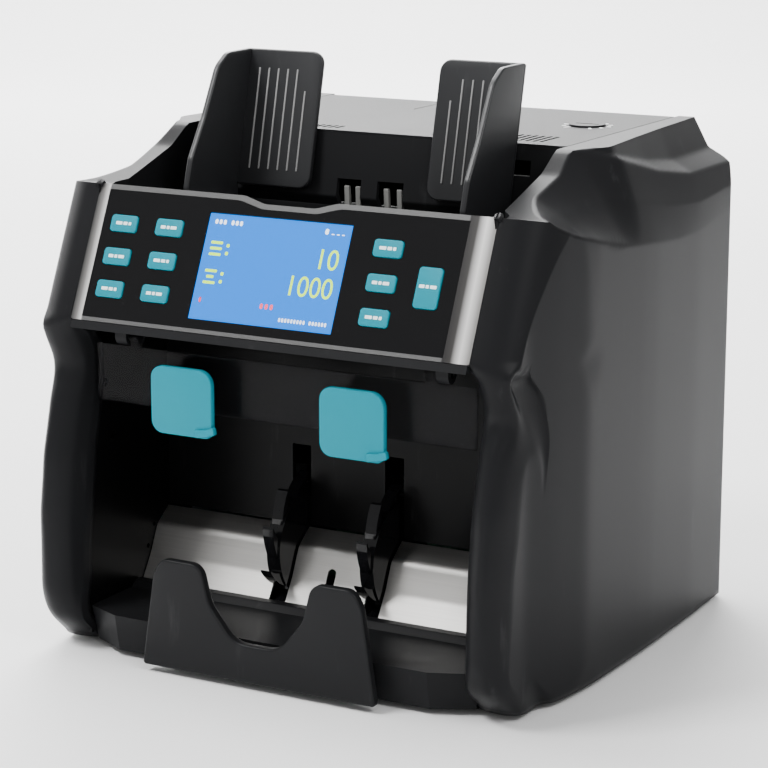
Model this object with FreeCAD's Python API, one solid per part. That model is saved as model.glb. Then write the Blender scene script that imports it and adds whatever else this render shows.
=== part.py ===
import FreeCAD, Part
import math
import os

os.makedirs("parts", exist_ok=True)

# ---------------------------------------------------------------- driving sizes (mm)
FOOT = 3.0              # rubber foot height under the base
ORIGIN_Y = 111.2        # middle of the machine's depth, becomes Y = 0
PANEL_W = 204.0         # control panel width
PANEL_L = 64.5          # control panel length up its slope
PANEL_TILT = 24.5       # degrees the panel leans back from vertical
PANEL_Z = 156.6         # lower edge of the panel
BEZEL_T = 3.0           # panel frame thickness
OVERLAY_T = 1.2         # gloss overlay thickness
WIN_X0 = -96.3          # overlay left edge
WIN_X1 = 89.3           # overlay right edge
LCD_X0 = -40.1          # display window left edge
LCD_X1 = 33.3           # display window right edge
LCD_S0 = 9.2            # display window top, measured down the slope
LCD_S1 = 58.0           # display window bottom
KEY_W = 14.3            # key cap width
KEY_H = 7.9             # key cap height
KEY_R = 1.5             # key cap corner radius
KEY_GAP = 0.3           # clearance round every key
WALL = 3.0              # moulded wall thickness
POCKET_X = 101.0        # half width of the note pocket
HOPPER_X = 97.0         # half width of the hopper and top cover bay
TOP_Z = 236.0           # flat top height above the base
REAR_Y = 232.0          # rear face
GUIDE_X = 72.0          # note guide half spacing at rest
GUIDE_T = 3.0           # note guide wall
SHAFT_R = 4.0           # all cross shafts
RUN = 0.05              # radial running clearance
PLATE_X = 104.5         # inner face of the steel frame plates
PLATE_T = 2.0           # steel frame plate thickness
STACK_Y = 75.0          # stacker shaft axis
STACK_Z = 43.0
PICK_Y = 70.0           # pick-up shaft axis
PICK_Z = 186.0
FEED_Y = 104.0          # feed shaft axis
FEED_Z = 178.0
MOTOR_Y = 150.0         # motor axis
MOTOR_Z = 66.0
COVER_Y = 224.0         # top cover hinge axis
COVER_Z = 228.0
SHIELD_Y = 16.0         # stacker shield hinge axis
SHIELD_Z = 147.5
KNOB_X = 74.0           # thickness knob centre
KNOB_Y = 176.0


# ---------------------------------------------------------------- helpers
def vec(x, y, z):
    return FreeCAD.Vector(x, y, z)


def lift(plane, a, b, c):
    """Place plane coordinates a, b and offset c in space."""
    if plane == "XY":
        return vec(a, b, c)
    if plane == "XZ":
        return vec(a, c, b)
    return vec(c, a, b)


def box(x0, x1, y0, y1, z0, z1):
    return Part.makeBox(x1 - x0, y1 - y0, z1 - z0, vec(x0, y0, z0))


def rod(x0, x1, y, z, r):
    """Cylinder along X."""
    return Part.makeCylinder(r, x1 - x0, vec(x0, y, z), vec(1, 0, 0))


def post(x, y, z0, z1, r):
    """Cylinder along Z."""
    return Part.makeCylinder(r, z1 - z0, vec(x, y, z0))


def outline(points, plane, level):
    """Closed face from (a, b) or (a, b, radius) corners, corners rounded by arcs."""
    n = len(points)
    starts = []
    for i in range(n):
        a, b = points[i][0], points[i][1]
        r = points[i][2] if len(points[i]) > 2 else 0.0
        pa, pb = points[i - 1][0] - a, points[i - 1][1] - b
        na, nb = points[(i + 1) % n][0] - a, points[(i + 1) % n][1] - b
        pl = math.hypot(pa, pb)
        nl = math.hypot(na, nb)
        pa, pb, na, nb = pa / pl, pb / pl, na / nl, nb / nl
        if r <= 0.0:
            starts.append(((a, b), None, (a, b)))
            continue
        half = 0.5 * math.acos(max(-1.0, min(1.0, pa * na + pb * nb)))
        t = r / math.tan(half)
        ba, bb = pa + na, pb + nb
        bl = math.hypot(ba, bb)
        ba, bb = ba / bl, bb / bl
        reach = r / math.sin(half) - r
        mid = (a + ba * reach, b + bb * reach)
        starts.append(((a + pa * t, b + pb * t), mid, (a + na * t, b + nb * t)))
    edges = []
    for i in range(n):
        first, mid, last = starts[i]
        if mid is not None:
            p = [lift(plane, q[0], q[1], level) for q in (first, mid, last)]
            edges.append(Part.Arc(p[0], p[1], p[2]).toShape())
        after = starts[(i + 1) % n][0]
        p0 = lift(plane, last[0], last[1], level)
        p1 = lift(plane, after[0], after[1], level)
        if p0.distanceToPoint(p1) > 1e-6:
            edges.append(Part.LineSegment(p0, p1).toShape())
    return Part.Face(Part.Wire(edges))


def slab(points, plane, c0, c1):
    """Outline swept from level c0 to level c1 along the plane's normal."""
    return outline(points, plane, c0).extrude(lift(plane, 0.0, 0.0, c1 - c0))


def plate(x0, x1, y0, y1, z0, z1, r):
    """Flat plate in XY with rounded corners."""
    pts = [(x0, y0, r), (x1, y0, r), (x1, y1, r), (x0, y1, r)]
    return slab(pts, "XY", z0, z1)


def fuse(shapes):
    result = shapes[0]
    if len(shapes) > 1:
        result = shapes[0].multiFuse(shapes[1:])
    return result.removeSplitter()


def cut(shape, tools):
    return shape.cut(tools)


def loft(wires):
    """Straight loft through closed wires, as an outward-facing solid."""
    result = Part.makeLoft(wires, True, True)
    if result.Volume < 0:
        result.reverse()
    return result


def mirror(shape):
    return shape.mirror(vec(0, 0, 0), vec(1, 0, 0))


def on_panel(shape):
    """Lay a shape drawn flat (X right, Y up the slope, Z outward) on the panel."""
    result = shape.copy()
    result.rotate(vec(0, 0, 0), vec(1, 0, 0), 90.0 - PANEL_TILT)
    result.translate(vec(0, 0, PANEL_Z))
    return result


def export(shape, name):
    """Move to the finished frame and write one node."""
    out = shape.copy()
    out.translate(vec(0, -ORIGIN_Y, FOOT))
    out.exportStep("parts/" + name + ".step")


def between(pairs, at):
    """Straight-line reading of (position, value) pairs."""
    if at <= pairs[0][0]:
        return pairs[0][1]
    for (p0, v0), (p1, v1) in zip(pairs, pairs[1:]):
        if at <= p1:
            return v0 + (v1 - v0) * (at - p0) / (p1 - p0)
    return pairs[-1][1]


# ---------------------------------------------------------------- side shell surface
# front edge curves of the pillar, read by height
POCKET_EDGE = [(0, 16), (12, 2), (19, 0.3), (28, 2.4), (48, 3.4), (70, 6.9), (92, 9.5),
               (118, 15.5), (134, 17.2), (142, 16), (149, 11.8), (155, 5.0)]
PILLAR_NOSE = [(0, 14), (4, 8), (13, -2.3), (28, -8.4), (65, -9.6), (92, -6.2),
               (118, 1.6), (128, 6.8), (134, 7.7), (144, 2.8), (155, -1)]
FACE_EDGE_X = [(0, 121), (20, 123), (70, 124.5), (110, 124), (122, 122), (139, 119), (155, 117)]
FACE_EDGE_Y = [(0, 20), (20, 3), (69, 13.3), (81, 17.2), (110, 20), (122, 20.8), (139, 14.6), (155, 3)]
SHELL_EDGE_X = [(0, 126.5), (10, 128.5), (30, 129.3), (120, 129.3), (140, 127.5), (155, 124)]
SHELL_EDGE_Y = [(0, 42), (11, 34.6), (32, 27), (68, 31.5), (81, 33.8), (120, 37.2), (140, 33), (155, 20)]
# outer side and rear corner, straight up the machine
SIDE = [(130.6, 75), (131.4, 125), (131.4, 180), (130.8, 213), (127.5, 226), (118.0, 231.2), (97.4, REAR_Y)]
SECTION_Z = [0, 5, 13, 28, 48, 68, 92, 112, 124, 134, 142, 149, 155, 161, 172, 190, 212, 240]


def pillar_points(z):
    """Plan outline of the shell at height z, pocket edge to rear, below the head."""
    yi = between(POCKET_EDGE, z)
    yf = between(PILLAR_NOSE, z)
    xe = between(FACE_EDGE_X, z)
    ye = between(FACE_EDGE_Y, z)
    xs = between(SHELL_EDGE_X, z)
    ys = between(SHELL_EDGE_Y, z)
    face = [(POCKET_X, yi), (103.5, yf + 0.45 * (yi - yf)), (108.0, yf + 0.1 * (yi - yf)),
            (114.0, yf), (119.5, yf + 0.3 * (ye - yf)), (xe, ye)]
    groove = [(xe, ye), (0.5 * (xe + xs) - 2.2, 0.5 * (ye + ys) + 1.0), (xs, ys)]
    return face, groove, [(xs, ys)] + SIDE


def head_points(z):
    """Plan outline of the shell at height z beside the leaning panel."""
    y = (z - PANEL_Z) * math.tan(math.radians(PANEL_TILT))
    face = [(PANEL_W / 2 + 0.3, y), (106, y + 0.1), (111, y + 0.9), (116, y + 3.2), (120.5, y + 7), (124, y + 12)]
    groove = [(124, y + 12), (126.8, y + 18.5), (128.6, y + 27)]
    return face, groove, [(128.6, y + 27)] + SIDE


def section_points(z):
    low = pillar_points(z)
    high = head_points(z)
    w = min(1.0, max(0.0, (z - 147.0) / 12.0))
    w = w * w * (3.0 - 2.0 * w)
    mixed = []
    for a, b in zip(low, high):
        mixed.append([(p[0] + (q[0] - p[0]) * w, p[1] + (q[1] - p[1]) * w) for p, q in zip(a, b)])
    return mixed


def spline(points, z):
    curve = Part.BSplineCurve()
    curve.interpolate([vec(p[0], p[1], z) for p in points])
    return curve.toShape()


def outer_wire(z):
    parts = section_points(z)
    edges = [spline(part, z) for part in parts]
    first = parts[0][0]
    last = parts[2][-1]
    edges.append(Part.LineSegment(vec(last[0], last[1], z), vec(first[0], first[1], z)).toShape())
    return Part.Wire(edges)


# crease, ridge and flat-top edge of the shoulder: (Y, crease Z, ridge X, ridge Z, top-edge X)
SHOULDER = [(15, 222, 112, 240, 104), (38, 210, 104, 219, 103), (56, 204, 101, 222, 101),
            (96, 195, 105, 237, 104.5), (112, 193, 119, 231, 114), (150, 189.5, 123.5, 221, 110.5),
            (182, 189.5, 126, 216, 108), (236, 197, 126.5, 216, 105)]


def shoulder_wire(y, crease_z, ridge_x, ridge_z, top_x):
    """Everything above the shoulder at one station along the depth."""
    side_x = between([(15, 122.0), (38, 126.5), (60, 130.2), (125, 131.4), (180, 130.8), (236, 129)], y)
    lean = 0.5 * (side_x + ridge_x) + 1.4
    hollow_x = ridge_x + 0.62 * (top_x - ridge_x)
    hollow_z = ridge_z + 0.30 * (TOP_Z - ridge_z)
    pts = [(140, crease_z), (side_x, crease_z), (lean, 0.5 * (crease_z + ridge_z)), (ridge_x, ridge_z),
           (hollow_x, hollow_z), (top_x, TOP_Z + 0.5), (top_x, 250), (140, 250)]
    corners = [vec(p[0], y, p[1]) for p in pts]
    return Part.makePolygon(corners + [corners[0]])


def hollow_wire(y, side_x, crease_z, ridge_x, ridge_z):
    """Inside of the shoulder at one station along the depth."""
    x0 = HOPPER_X + WALL
    pts = [(x0, 185.9), (side_x, 185.9), (side_x, crease_z), (ridge_x, ridge_z), (x0, ridge_z)]
    corners = [vec(p[0], y, p[1]) for p in pts]
    return Part.makePolygon(corners + [corners[0]])


HOLLOW = [(44, 122, 202, 106, 209), (60, 126, 198, 104, 215), (92, 127, 192, 104.5, 227),
          (112, 127.4, 189, 112, 228), (150, 127.4, 187, 117, 217), (182, 126.6, 188, 120, 212.5),
          (214, 123, 191, 120, 211)]


def side_shell():
    outer = loft([outer_wire(z) for z in SECTION_Z])
    above = slab([(-20, 215.4), (26.9, 215.2), (35, 213.6), (56, 220, 6), (78, 227, 8), (92.5, TOP_Z, 4),
                  (240, TOP_Z), (240, 260), (-20, 260)], "YZ", 90, 140)
    shoulder = loft([shoulder_wire(*s) for s in SHOULDER])
    body = outer.cut(above)
    body = body.cut(shoulder)
    low = slab([(95, 38), (122, 42, 6), (127.2, 75), (128, 125), (127.4, 180), (125.6, 208), (121, 222, 8),
                (111, 228.8, 8), (95, 228.8)], "XY", -1, 186)
    pillar = slab([(104.5, 12), (108, -3, 3), (116, -4, 4), (120.5, 12), (121, 39), (104.5, 39)], "XY", 24, 88)
    bay = loft([hollow_wire(*s) for s in HOLLOW])
    body = body.cut(low)
    body = body.cut(pillar)
    body = body.cut(bay)
    recess = slab([(8.6, -1), (8.2, 28), (12.1, 70), (20.6, 118), (22.6, 134), (16.6, 153), (40, 153), (40, -1)],
                  "YZ", 100, POCKET_X + 2.4)
    body = body.cut(recess)
    body = body.cut(rod(90, HOPPER_X + WALL + 1, PICK_Y, PICK_Z, SHAFT_R + 1.5))
    body = body.cut(box(90, HOPPER_X, -20, 240, 186, 250))
    return body.cut(rod(90, HOPPER_X + WALL + 1, COVER_Y, COVER_Z, 2.5 + RUN))


# ---------------------------------------------------------------- control panel
def key_hole(x, s, w, h, z0, z1):
    t = PANEL_L - s
    g = KEY_GAP
    return plate(x - w / 2 - g, x + w / 2 + g, t - h / 2 - g, t + h / 2 + g, z0, z1, KEY_R + g)


KEYS = [("key_error", -84.3, 18.1), ("key_range", -84.3, 33.7), ("key_batch", -84.3, 49.0),
        ("key_add", -59.8, 18.1), ("key_print", -59.8, 33.7), ("key_report", -59.8, 49.0),
        ("key_menu", 53.0, 18.0), ("key_mode", 53.0, 33.5), ("key_currency", 53.0, 48.9)]
RESET = (75.9, 33.5, 11.5, 18.3)


def panel_bezel():
    face = [(-PANEL_W / 2, 0, 1), (PANEL_W / 2, 0, 1), (PANEL_W / 2, PANEL_L, 1), (24, PANEL_L, 12),
            (13, PANEL_L - 3.2, 10), (-13, PANEL_L - 3.2, 10), (-24, PANEL_L, 12), (-PANEL_W / 2, PANEL_L, 1)]
    body = slab(face, "XY", -BEZEL_T, 0)
    well = [(WIN_X0, 1.8), (WIN_X1, 1.8), (WIN_X1, PANEL_L - 2.4), (26, PANEL_L - 2.4, 12),
            (14, PANEL_L - 5.6, 10), (-14, PANEL_L - 5.6, 10), (-26, PANEL_L - 2.4, 12), (WIN_X0, PANEL_L - 2.4)]
    tools = [slab(well, "XY", -OVERLAY_T, 1)]
    for name, x, s in KEYS:
        tools.append(key_hole(x, s, KEY_W, KEY_H, -4, 1))
    tools.append(key_hole(*RESET, -4, 1))
    tools.append(box(LCD_X0 - 0.2, LCD_X1 + 0.2, PANEL_L - LCD_S1 - 0.2, PANEL_L - LCD_S0 + 0.2, -4, 1))
    return on_panel(cut(body, tools))


def panel_overlay():
    g = 0.15
    well = [(WIN_X0 + g, 1.8 + g), (WIN_X1 - g, 1.8 + g), (WIN_X1 - g, PANEL_L - 2.4 - g),
            (26, PANEL_L - 2.4 - g, 12), (14, PANEL_L - 5.6 - g, 10), (-14, PANEL_L - 5.6 - g, 10),
            (-26, PANEL_L - 2.4 - g, 12), (WIN_X0 + g, PANEL_L - 2.4 - g)]
    body = slab(well, "XY", -OVERLAY_T, -0.1)
    tools = []
    for name, x, s in KEYS:
        tools.append(key_hole(x, s, KEY_W, KEY_H, -4, 1))
    tools.append(key_hole(*RESET, -4, 1))
    tools.append(box(LCD_X0 - 0.2, LCD_X1 + 0.2, PANEL_L - LCD_S1 - 0.2, PANEL_L - LCD_S0 + 0.2, -4, 1))
    return on_panel(cut(body, tools))


def key_cap(x, s, w, h):
    """Cap through the panel with a retaining flange behind it."""
    t = PANEL_L - s
    cap = plate(x - w / 2, x + w / 2, t - h / 2, t + h / 2, -3.6, 0.8, KEY_R)
    flange = plate(x - w / 2 - 0.9, x + w / 2 + 0.9, t - h / 2 - 0.9, t + h / 2 + 0.9, -4.4, -3.4, KEY_R)
    return on_panel(fuse([cap, flange]))


def display_window():
    return on_panel(box(LCD_X0, LCD_X1, PANEL_L - LCD_S1, PANEL_L - LCD_S0, -2.6, -0.5))


def lcd_module():
    can = box(LCD_X0 - 3.5, LCD_X1 + 3.5, 2.6, 60.0, -7.0, -3.2)
    pad = box(LCD_X0 + 1, LCD_X1 - 1, PANEL_L - LCD_S1 + 1, PANEL_L - LCD_S0 - 1, -3.2, -2.6)
    return on_panel(fuse([can, pad]))


def keypad_board():
    parts = [box(-95, 88, 3, 61, -8.6, -7.0)]
    spots = [(x, s) for name, x, s in KEYS] + [(RESET[0], RESET[1])]
    for x, s in spots:
        parts.append(box(x - 3, x + 3, PANEL_L - s - 3, PANEL_L - s + 3, -7.0, -5.4))
    return on_panel(fuse(parts))


# ---------------------------------------------------------------- head and hopper
def head_housing():
    ends = 101.4
    floor = slab([(-1.7, 152.8), (0.0, 156.3), (2.9, 155.1), (38, 155.1), (38, 152.8)], "YZ", -ends, ends)
    crest = slab([(29.8, 214.0), (35.2, 212.7, 2), (38, 207.5), (38, 200), (35.6, 200), (35.6, 207),
                  (33.8, 210.2), (30.5, 211.2)], "YZ", -ends, ends)
    back = box(-ends, ends, 35.6, 38, 155.0, 200.1)
    cheek = slab([(4.6, 155.0), (38, 155.0), (38, 206), (33.8, 210.4), (29.7, 210.4)], "YZ", ends - 2.4, ends)
    rail = on_panel(box(-99, 99, 1.0, 2.5, -9.0, -3.0))
    body = fuse([floor, crest, back, cheek, mirror(cheek), rail])
    lugs = [rod(-86, -80, SHIELD_Y, SHIELD_Z, 4.0), rod(80, 86, SHIELD_Y, SHIELD_Z, 4.0)]
    lugs += [box(-86, -80, SHIELD_Y - 4, SHIELD_Y + 4, SHIELD_Z, 153), box(80, 86, SHIELD_Y - 4, SHIELD_Y + 4, SHIELD_Z, 153)]
    body = fuse([body] + lugs)
    return cut(body, [rod(-90, 90, SHIELD_Y, SHIELD_Z, 1.5 + RUN)])


def hopper_tray():
    """Sloping note table with pick-up wheel slots and a rear lip."""
    side = [(38.4, 212.0), (44, 207.6, 3), (92, 188.6), (92, 186.0), (43.2, 205.3, 3), (38.4, 209.2)]
    body = slab(side, "YZ", -96.6, 96.6)
    ribs = []
    for x in (-80, -48, 0, 48, 80):
        ribs.append(slab([(46, 205.2), (88, 188.4), (88, 185.8), (60, 193.8)], "YZ", x - 1, x + 1))
    body = fuse([body] + ribs)
    slots = []
    for x in (-33, 33):
        slots.append(box(x - 8.8, x + 8.8, PICK_Y - 14, PICK_Y + 30, 180, 215))
    return cut(body, slots)


def note_fingers():
    parts = [box(-40, 40, 107.5, 109.5, 196.4, 199.0)]
    for x in (-16.5, -10.5, 4.6, 11.6):
        parts.append(slab([(109.5, 196.4), (109.5, 198.6), (104.4, 200.5), (103.6, 210.5, 0.6),
                           (101.8, 210.5, 0.6), (102.4, 199), (104, 196.4)], "YZ", x, x + 2.4))
    parts.append(box(-40, -37, 107.5, 122, 194, 199))
    parts.append(box(37, 40, 107.5, 122, 194, 199))
    parts.append(box(-PLATE_X, PLATE_X, 120, 123, 194, 199))
    return fuse(parts)


def top_cover():
    top = [(-96.6, 104, 3), (96.6, 104, 3), (96.6, 227.5), (-96.6, 227.5)]
    deck = slab(top, "XY", TOP_Z - 3, TOP_Z)
    wall = slab([(104.2, TOP_Z - 0.4, 1), (107.6, TOP_Z - 0.4), (107.2, 233), (101.2, 207), (105.5, 198.6),
                 (103.6, 197.4), (98.4, 205.5, 2)], "YZ", -96.6, 96.6)
    skirt = slab([(107, 234), (227.5, 234), (227.5, 222), (120, 214), (104, 208), (101.6, 208.6)], "YZ", 94.4, 96.6)
    rail = box(-90, 90, 150, 152.4, 226, 233.1)
    boss = post(0, 114, 221.6, 233.2, 2.0)
    seat = post(0, 114, 229.0, 233.2, 3.4)
    pins = rod(96.0, 99.6, COVER_Y, COVER_Z, 2.5)
    body = fuse([deck, wall, skirt, mirror(skirt), rail, boss, seat, pins, mirror(pins)])
    tools = [box(-19.1, -6.3, 90, 110, 190, 214), box(2.4, 16.2, 90, 110, 190, 214)]
    for sign in (-1, 1):
        tools.append(box(min(sign * 36, sign * 80), max(sign * 36, sign * 80), 95, 109.5, 221.5, 228.5))
        for i in range(6):
            x = sign * (80 - 3.6 * i)
            tools.append(slab([(x - 0.9, 112, 0.8), (x + 0.9, 112, 0.8), (x + 0.9, 132, 0.8), (x - 0.9, 132, 0.8)], "XY", 230, 240))
            x = sign * (44 - 3.6 * i)
            tools.append(slab([(x - 0.9, 110, 0.8), (x + 0.9, 110, 0.8), (x + 0.9, 119, 0.8), (x - 0.9, 119, 0.8)], "XY", 230, 240))
    tools.append(plate(-29, 29, 192, 229, TOP_Z - 1.6, TOP_Z + 1, 1.5))
    tools.append(box(-24, 24, 196, 224, TOP_Z - 4, TOP_Z))
    tools.append(post(KNOB_X, KNOB_Y, 230, 240, 3.0 + RUN))
    tools.append(post(KNOB_X, KNOB_Y, TOP_Z - 1.0, 240, 9.0))
    return cut(body, tools)


def service_hatch():
    lid = plate(-28.7, 28.7, 192.3, 227.5, TOP_Z - 1.6, TOP_Z - 0.1, 1.5)
    slot = plate(-9, 9, 197, 201, TOP_Z - 1.0, TOP_Z + 1, 1.8)
    clips = [box(-23.5, -21.5, 200, 220, TOP_Z - 3.4, TOP_Z - 1.5), box(21.5, 23.5, 200, 220, TOP_Z - 3.4, TOP_Z - 1.5)]
    return cut(fuse([lid] + clips), [slot])


def thickness_knob():
    dial = post(KNOB_X, KNOB_Y, TOP_Z - 0.8, TOP_Z + 0.9, 8.6)
    stem = post(KNOB_X, KNOB_Y, TOP_Z - 6.5, TOP_Z - 0.7, 3.0)
    slot = box(KNOB_X - 6, KNOB_X + 6, KNOB_Y - 0.8, KNOB_Y + 0.8, TOP_Z - 0.1, TOP_Z + 2)
    collar = post(KNOB_X, KNOB_Y, TOP_Z - 6.5, TOP_Z - 4.0, 4.4)
    return cut(fuse([dial, stem, collar]), [slot])


def guide():
    """Right note guide: side cheek, leaning ribbed rear wall, arm and rack."""
    x0 = GUIDE_X - GUIDE_T / 2
    x1 = GUIDE_X + GUIDE_T / 2
    cheek = slab([(51, 206), (51, 212, 6), (55, 225, 8), (67, 243.5, 20), (79, 265.7, 12), (88, 271.5, 8),
                  (109.4, 271.9, 1), (94.6, 209.0), (94.6, 202), (91.0, 190.6, 2)], "YZ", x0, x1)
    lean = math.radians(13.4)
    wall = plate(31, x1, 0, 65.2, -GUIDE_T, 0, 6)
    wall = fuse([wall, box(x1 - 9, x1, 0, 65.2, -GUIDE_T, 0)])
    ribs = []
    for i in range(6):
        x = 64.6 - 5.2 * i
        top = 56.0 if i < 5 else 46.0
        ribs.append(box(x - 0.35, x + 0.35, 8.0, top, -0.1, 0.35))
    wall = fuse([wall] + ribs)
    wall.rotate(vec(0, 0, 0), vec(1, 0, 0), 90.0)
    wall.rotate(vec(0, 0, 0), vec(1, 0, 0), -math.degrees(lean))
    wall.translate(vec(0, 93.0, 208.5))
    arm = box(51, 57, 98.0, 121.5, 223.0, 226.8)
    bar = box(-21, 57, 118.2, 121.5, 223.0, 226.8)
    teeth = []
    for i in range(28):
        x = -20.0 + 2.1 * i
        teeth.append(box(x - 0.5, x + 0.5, 117.6, 118.3, 223.0, 226.8))
    return fuse([cheek, wall, arm, bar] + teeth)


def guide_left():
    """Left note guide, mirrored, with its rack on the front side of the pinion."""
    x0 = GUIDE_X - GUIDE_T / 2
    body = mirror(guide())
    body = body.cut(box(-60, 60, 109.9, 125, 220, 230))
    bar = box(-57, 21, 106.6, 109.8, 223.0, 226.8)
    teeth = []
    for i in range(28):
        x = 20.0 - 2.1 * i
        teeth.append(box(x - 0.5, x + 0.5, 109.7, 110.4, 223.0, 226.8))
    return fuse([body, bar] + teeth)


def guide_pinion():
    parts = [post(0, 114, 222.6, 227.4, 3.0)]
    for i in range(12):
        tooth = box(-0.5, 0.5, 114, 117.2, 222.6, 227.4)
        tooth.rotate(vec(0, 114, 0), vec(0, 0, 1), 30.0 * i)
        parts.append(tooth)
    return cut(fuse(parts), [post(0, 114, 220, 230, 2.0 + RUN)])


# ---------------------------------------------------------------- pocket
def base_tray():
    half = POCKET_X - 0.6
    low = Part.makePolygon([vec(*p) for p in ((-half, 13.5, 0), (-82, 4, 0), (82, 4, 0), (half, 13.5, 0),
                                              (half, 49.4, 0), (-half, 49.4, 0), (-half, 13.5, 0))])
    high = Part.makePolygon([vec(*p) for p in ((-half, 8.5, 17.7), (-82, 0.7, 17.7), (82, 0.7, 17.7),
                                               (half, 8.5, 17.7), (half, 49.4, 17.7), (-half, 49.4, 17.7),
                                               (-half, 8.5, 17.7))])
    nose = loft([low, high])
    nose = nose.cut(box(-half + 2.5, half - 2.5, 14, 47.5, -1, 15.2))
    floor = box(-half, half, 47.5, 228.6, 0.5, 3.5)
    lip = slab([(40.5, 17.0), (44.5, 20.5, 1), (49.3, 20.5), (49.3, 17.0)], "YZ", -half, half)
    rims = [box(-half, -half + 2, 50, 228.6, 3.4, 12), box(half - 2, half, 50, 228.6, 3.4, 12)]
    rims.append(box(-half, half, 226.6, 228.6, 3.4, 12))
    pillars = []
    for x, y in ((-70, 130), (10, 130), (-70, 205), (10, 205)):
        pillars.append(post(x, y, 3.4, 10, 3))
    skirts = [box(half - 1, 124, 60, 215, 0.5, 2.6), box(-124, -half + 1, 60, 215, 0.5, 2.6)]
    return fuse([nose, lip, floor] + rims + pillars + skirts)


def stopper_plate():
    """Front stop for the note stack with a wide finger notch."""
    side = [(61, 0, 1), (54.5, 44, 14), (50.5, 52, 7), (29, 52, 7), (24.5, 34, 16), (12, 18.2, 14)]
    pts = side + [(-p[0], p[1]) + tuple(p[2:]) for p in reversed(side)]
    body = slab(pts, "XZ", -8.0, -3.4)
    block = box(-52, 52, -3.5, 0.6, 1.5, 15.5)
    ties = [box(-45, -33, -3.5, 4.5, 3, 14), box(33, 45, -3.5, 4.5, 3, 14)]
    return fuse([body, block]).cut(ties[0]).cut(ties[1])


PLATE_LINE = [(49.8, 16.4), (58.6, 30.2), (64.9, 43.6), (74.6, 50.6)]


def stacker_plate():
    """Bent stainless plate under the note stack, slotted for the wheels."""
    under = [(p[0] + 0.9, p[1] - 0.9) for p in reversed(PLATE_LINE)]
    pts = [PLATE_LINE[0], PLATE_LINE[1] + (14,), PLATE_LINE[2] + (8,), PLATE_LINE[3]]
    pts += [under[0], under[1] + (7,), under[2] + (15,), under[3]]
    body = slab(pts, "YZ", -POCKET_X + 0.3, POCKET_X - 0.3)
    tools = [box(-29.5, -20.5, 51, 80, 17, 60), box(20.5, 29.5, 51, 80, 17, 60)]
    tools.append(slab([(-2.2, 26, 2), (2.2, 26, 2), (2.2, 36, 2), (-2.2, 36, 2)], "XZ", 40, 90))
    return cut(body, tools)


def pocket_back():
    """Black rear wall and ceiling of the pocket."""
    body = slab([(75.6, 51.2), (78.4, 51.2), (78.4, 152.6), (38.6, 152.6), (38.6, 150.0), (75.6, 150.0)],
                "YZ", -POCKET_X + 0.3, POCKET_X - 0.3)
    tools = [box(-30, -20, 70, 80, 50, 90), box(20, 30, 70, 80, 50, 90)]
    return cut(body, tools)


def inner_wall():
    side = [(9, 4), (8.6, 28), (12.5, 70), (21, 118), (23, 134), (17, 152.4), (78.4, 152.4), (96, 100), (96, 4)]
    body = slab(side, "YZ", POCKET_X + 0.1, POCKET_X + 2.1)
    tools = [rod(95, 110, 29.6, 95.6, 2.2), rod(95, 110, 62.5, 43.8, 1.2), rod(95, 110, 57.1, 34.1, 1.2)]
    tools += [rod(95, 110, 24.7, 121.9, 2.0), rod(95, 110, STACK_Y, STACK_Z, 6.0)]
    return cut(body, tools)


def stacker_shield():
    """Smoked pane hanging below the head on two pivots."""
    pane = box(-98, 98, SHIELD_Y - 1.2, SHIELD_Y + 1.0, 117.0, SHIELD_Z - 4.6)
    lip = rod(-98, 98, SHIELD_Y - 0.2, 117.0, 1.3)
    parts = [pane, lip]
    for sign in (-1, 1):
        a, b = sorted((sign * 74, sign * 79.6))
        parts.append(box(a, b, SHIELD_Y - 1.2, SHIELD_Y + 1.0, SHIELD_Z - 5, SHIELD_Z))
        parts.append(rod(a, b, SHIELD_Y, SHIELD_Z, 3.2))
        a, b = sorted((sign * 79, sign * 85.6))
        parts.append(rod(a, b, SHIELD_Y, SHIELD_Z, 1.5))
        a, b = sorted((sign * 38, sign * 50))
        parts.append(box(a, b, 4.9, SHIELD_Y - 1.1, 120, 130))
    return fuse(parts)


def shield_tab():
    """Right finger tab with a turned-up corner lip."""
    face = slab([(28.0, 108, 6), (60.6, 108, 6), (60.6, 139.4, 7), (28.0, 139.4, 6)], "XZ", 1.6, 4.9)
    lip = slab([(52, 107.6, 1.5), (62.6, 110.4, 1), (62.0, 114.2, 1), (52, 112, 1)], "XZ", 0.4, 3.2)
    return fuse([face, lip])


# ---------------------------------------------------------------- drive
def frame_plate(side):
    pts = [(50, 8, 4), (214, 8, 4), (214, 150, 8), (150, 198, 8), (58, 198, 8), (58, 160, 6), (96, 150, 6), (50, 100, 6)]
    body = slab(pts, "YZ", PLATE_X, PLATE_X + PLATE_T)
    tools = []
    for y, z in ((STACK_Y, STACK_Z), (PICK_Y, PICK_Z), (FEED_Y, FEED_Z)):
        tools.append(rod(90, 120, y, z, SHAFT_R + RUN))
    if side > 0:
        tools.append(rod(90, 120, MOTOR_Y, MOTOR_Z, 8.0))
    for y, z in ((120, 60), (180, 60), (170, 120)):
        tools.append(rod(90, 120, y, z, 9.0))
    body = cut(body, tools)
    foot = box(PLATE_X, 118, 70, 205, 2.7, 4.7)
    web = box(PLATE_X, PLATE_X + PLATE_T, 70, 205, 4.6, 8.2)
    return fuse([body, foot, web])


def gear(x0, x1, y, z, r, count):
    """Straight-toothed wheel along X."""
    parts = [rod(x0, x1, y, z, r - 1.6)]
    for i in range(count):
        tooth = box(x0, x1, y - 0.9, y + 0.9, z + r - 2.4, z + r)
        tooth.rotate(vec(0, y, z), vec(1, 0, 0), 360.0 * i / count)
        parts.append(tooth)
    return fuse(parts)


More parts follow.
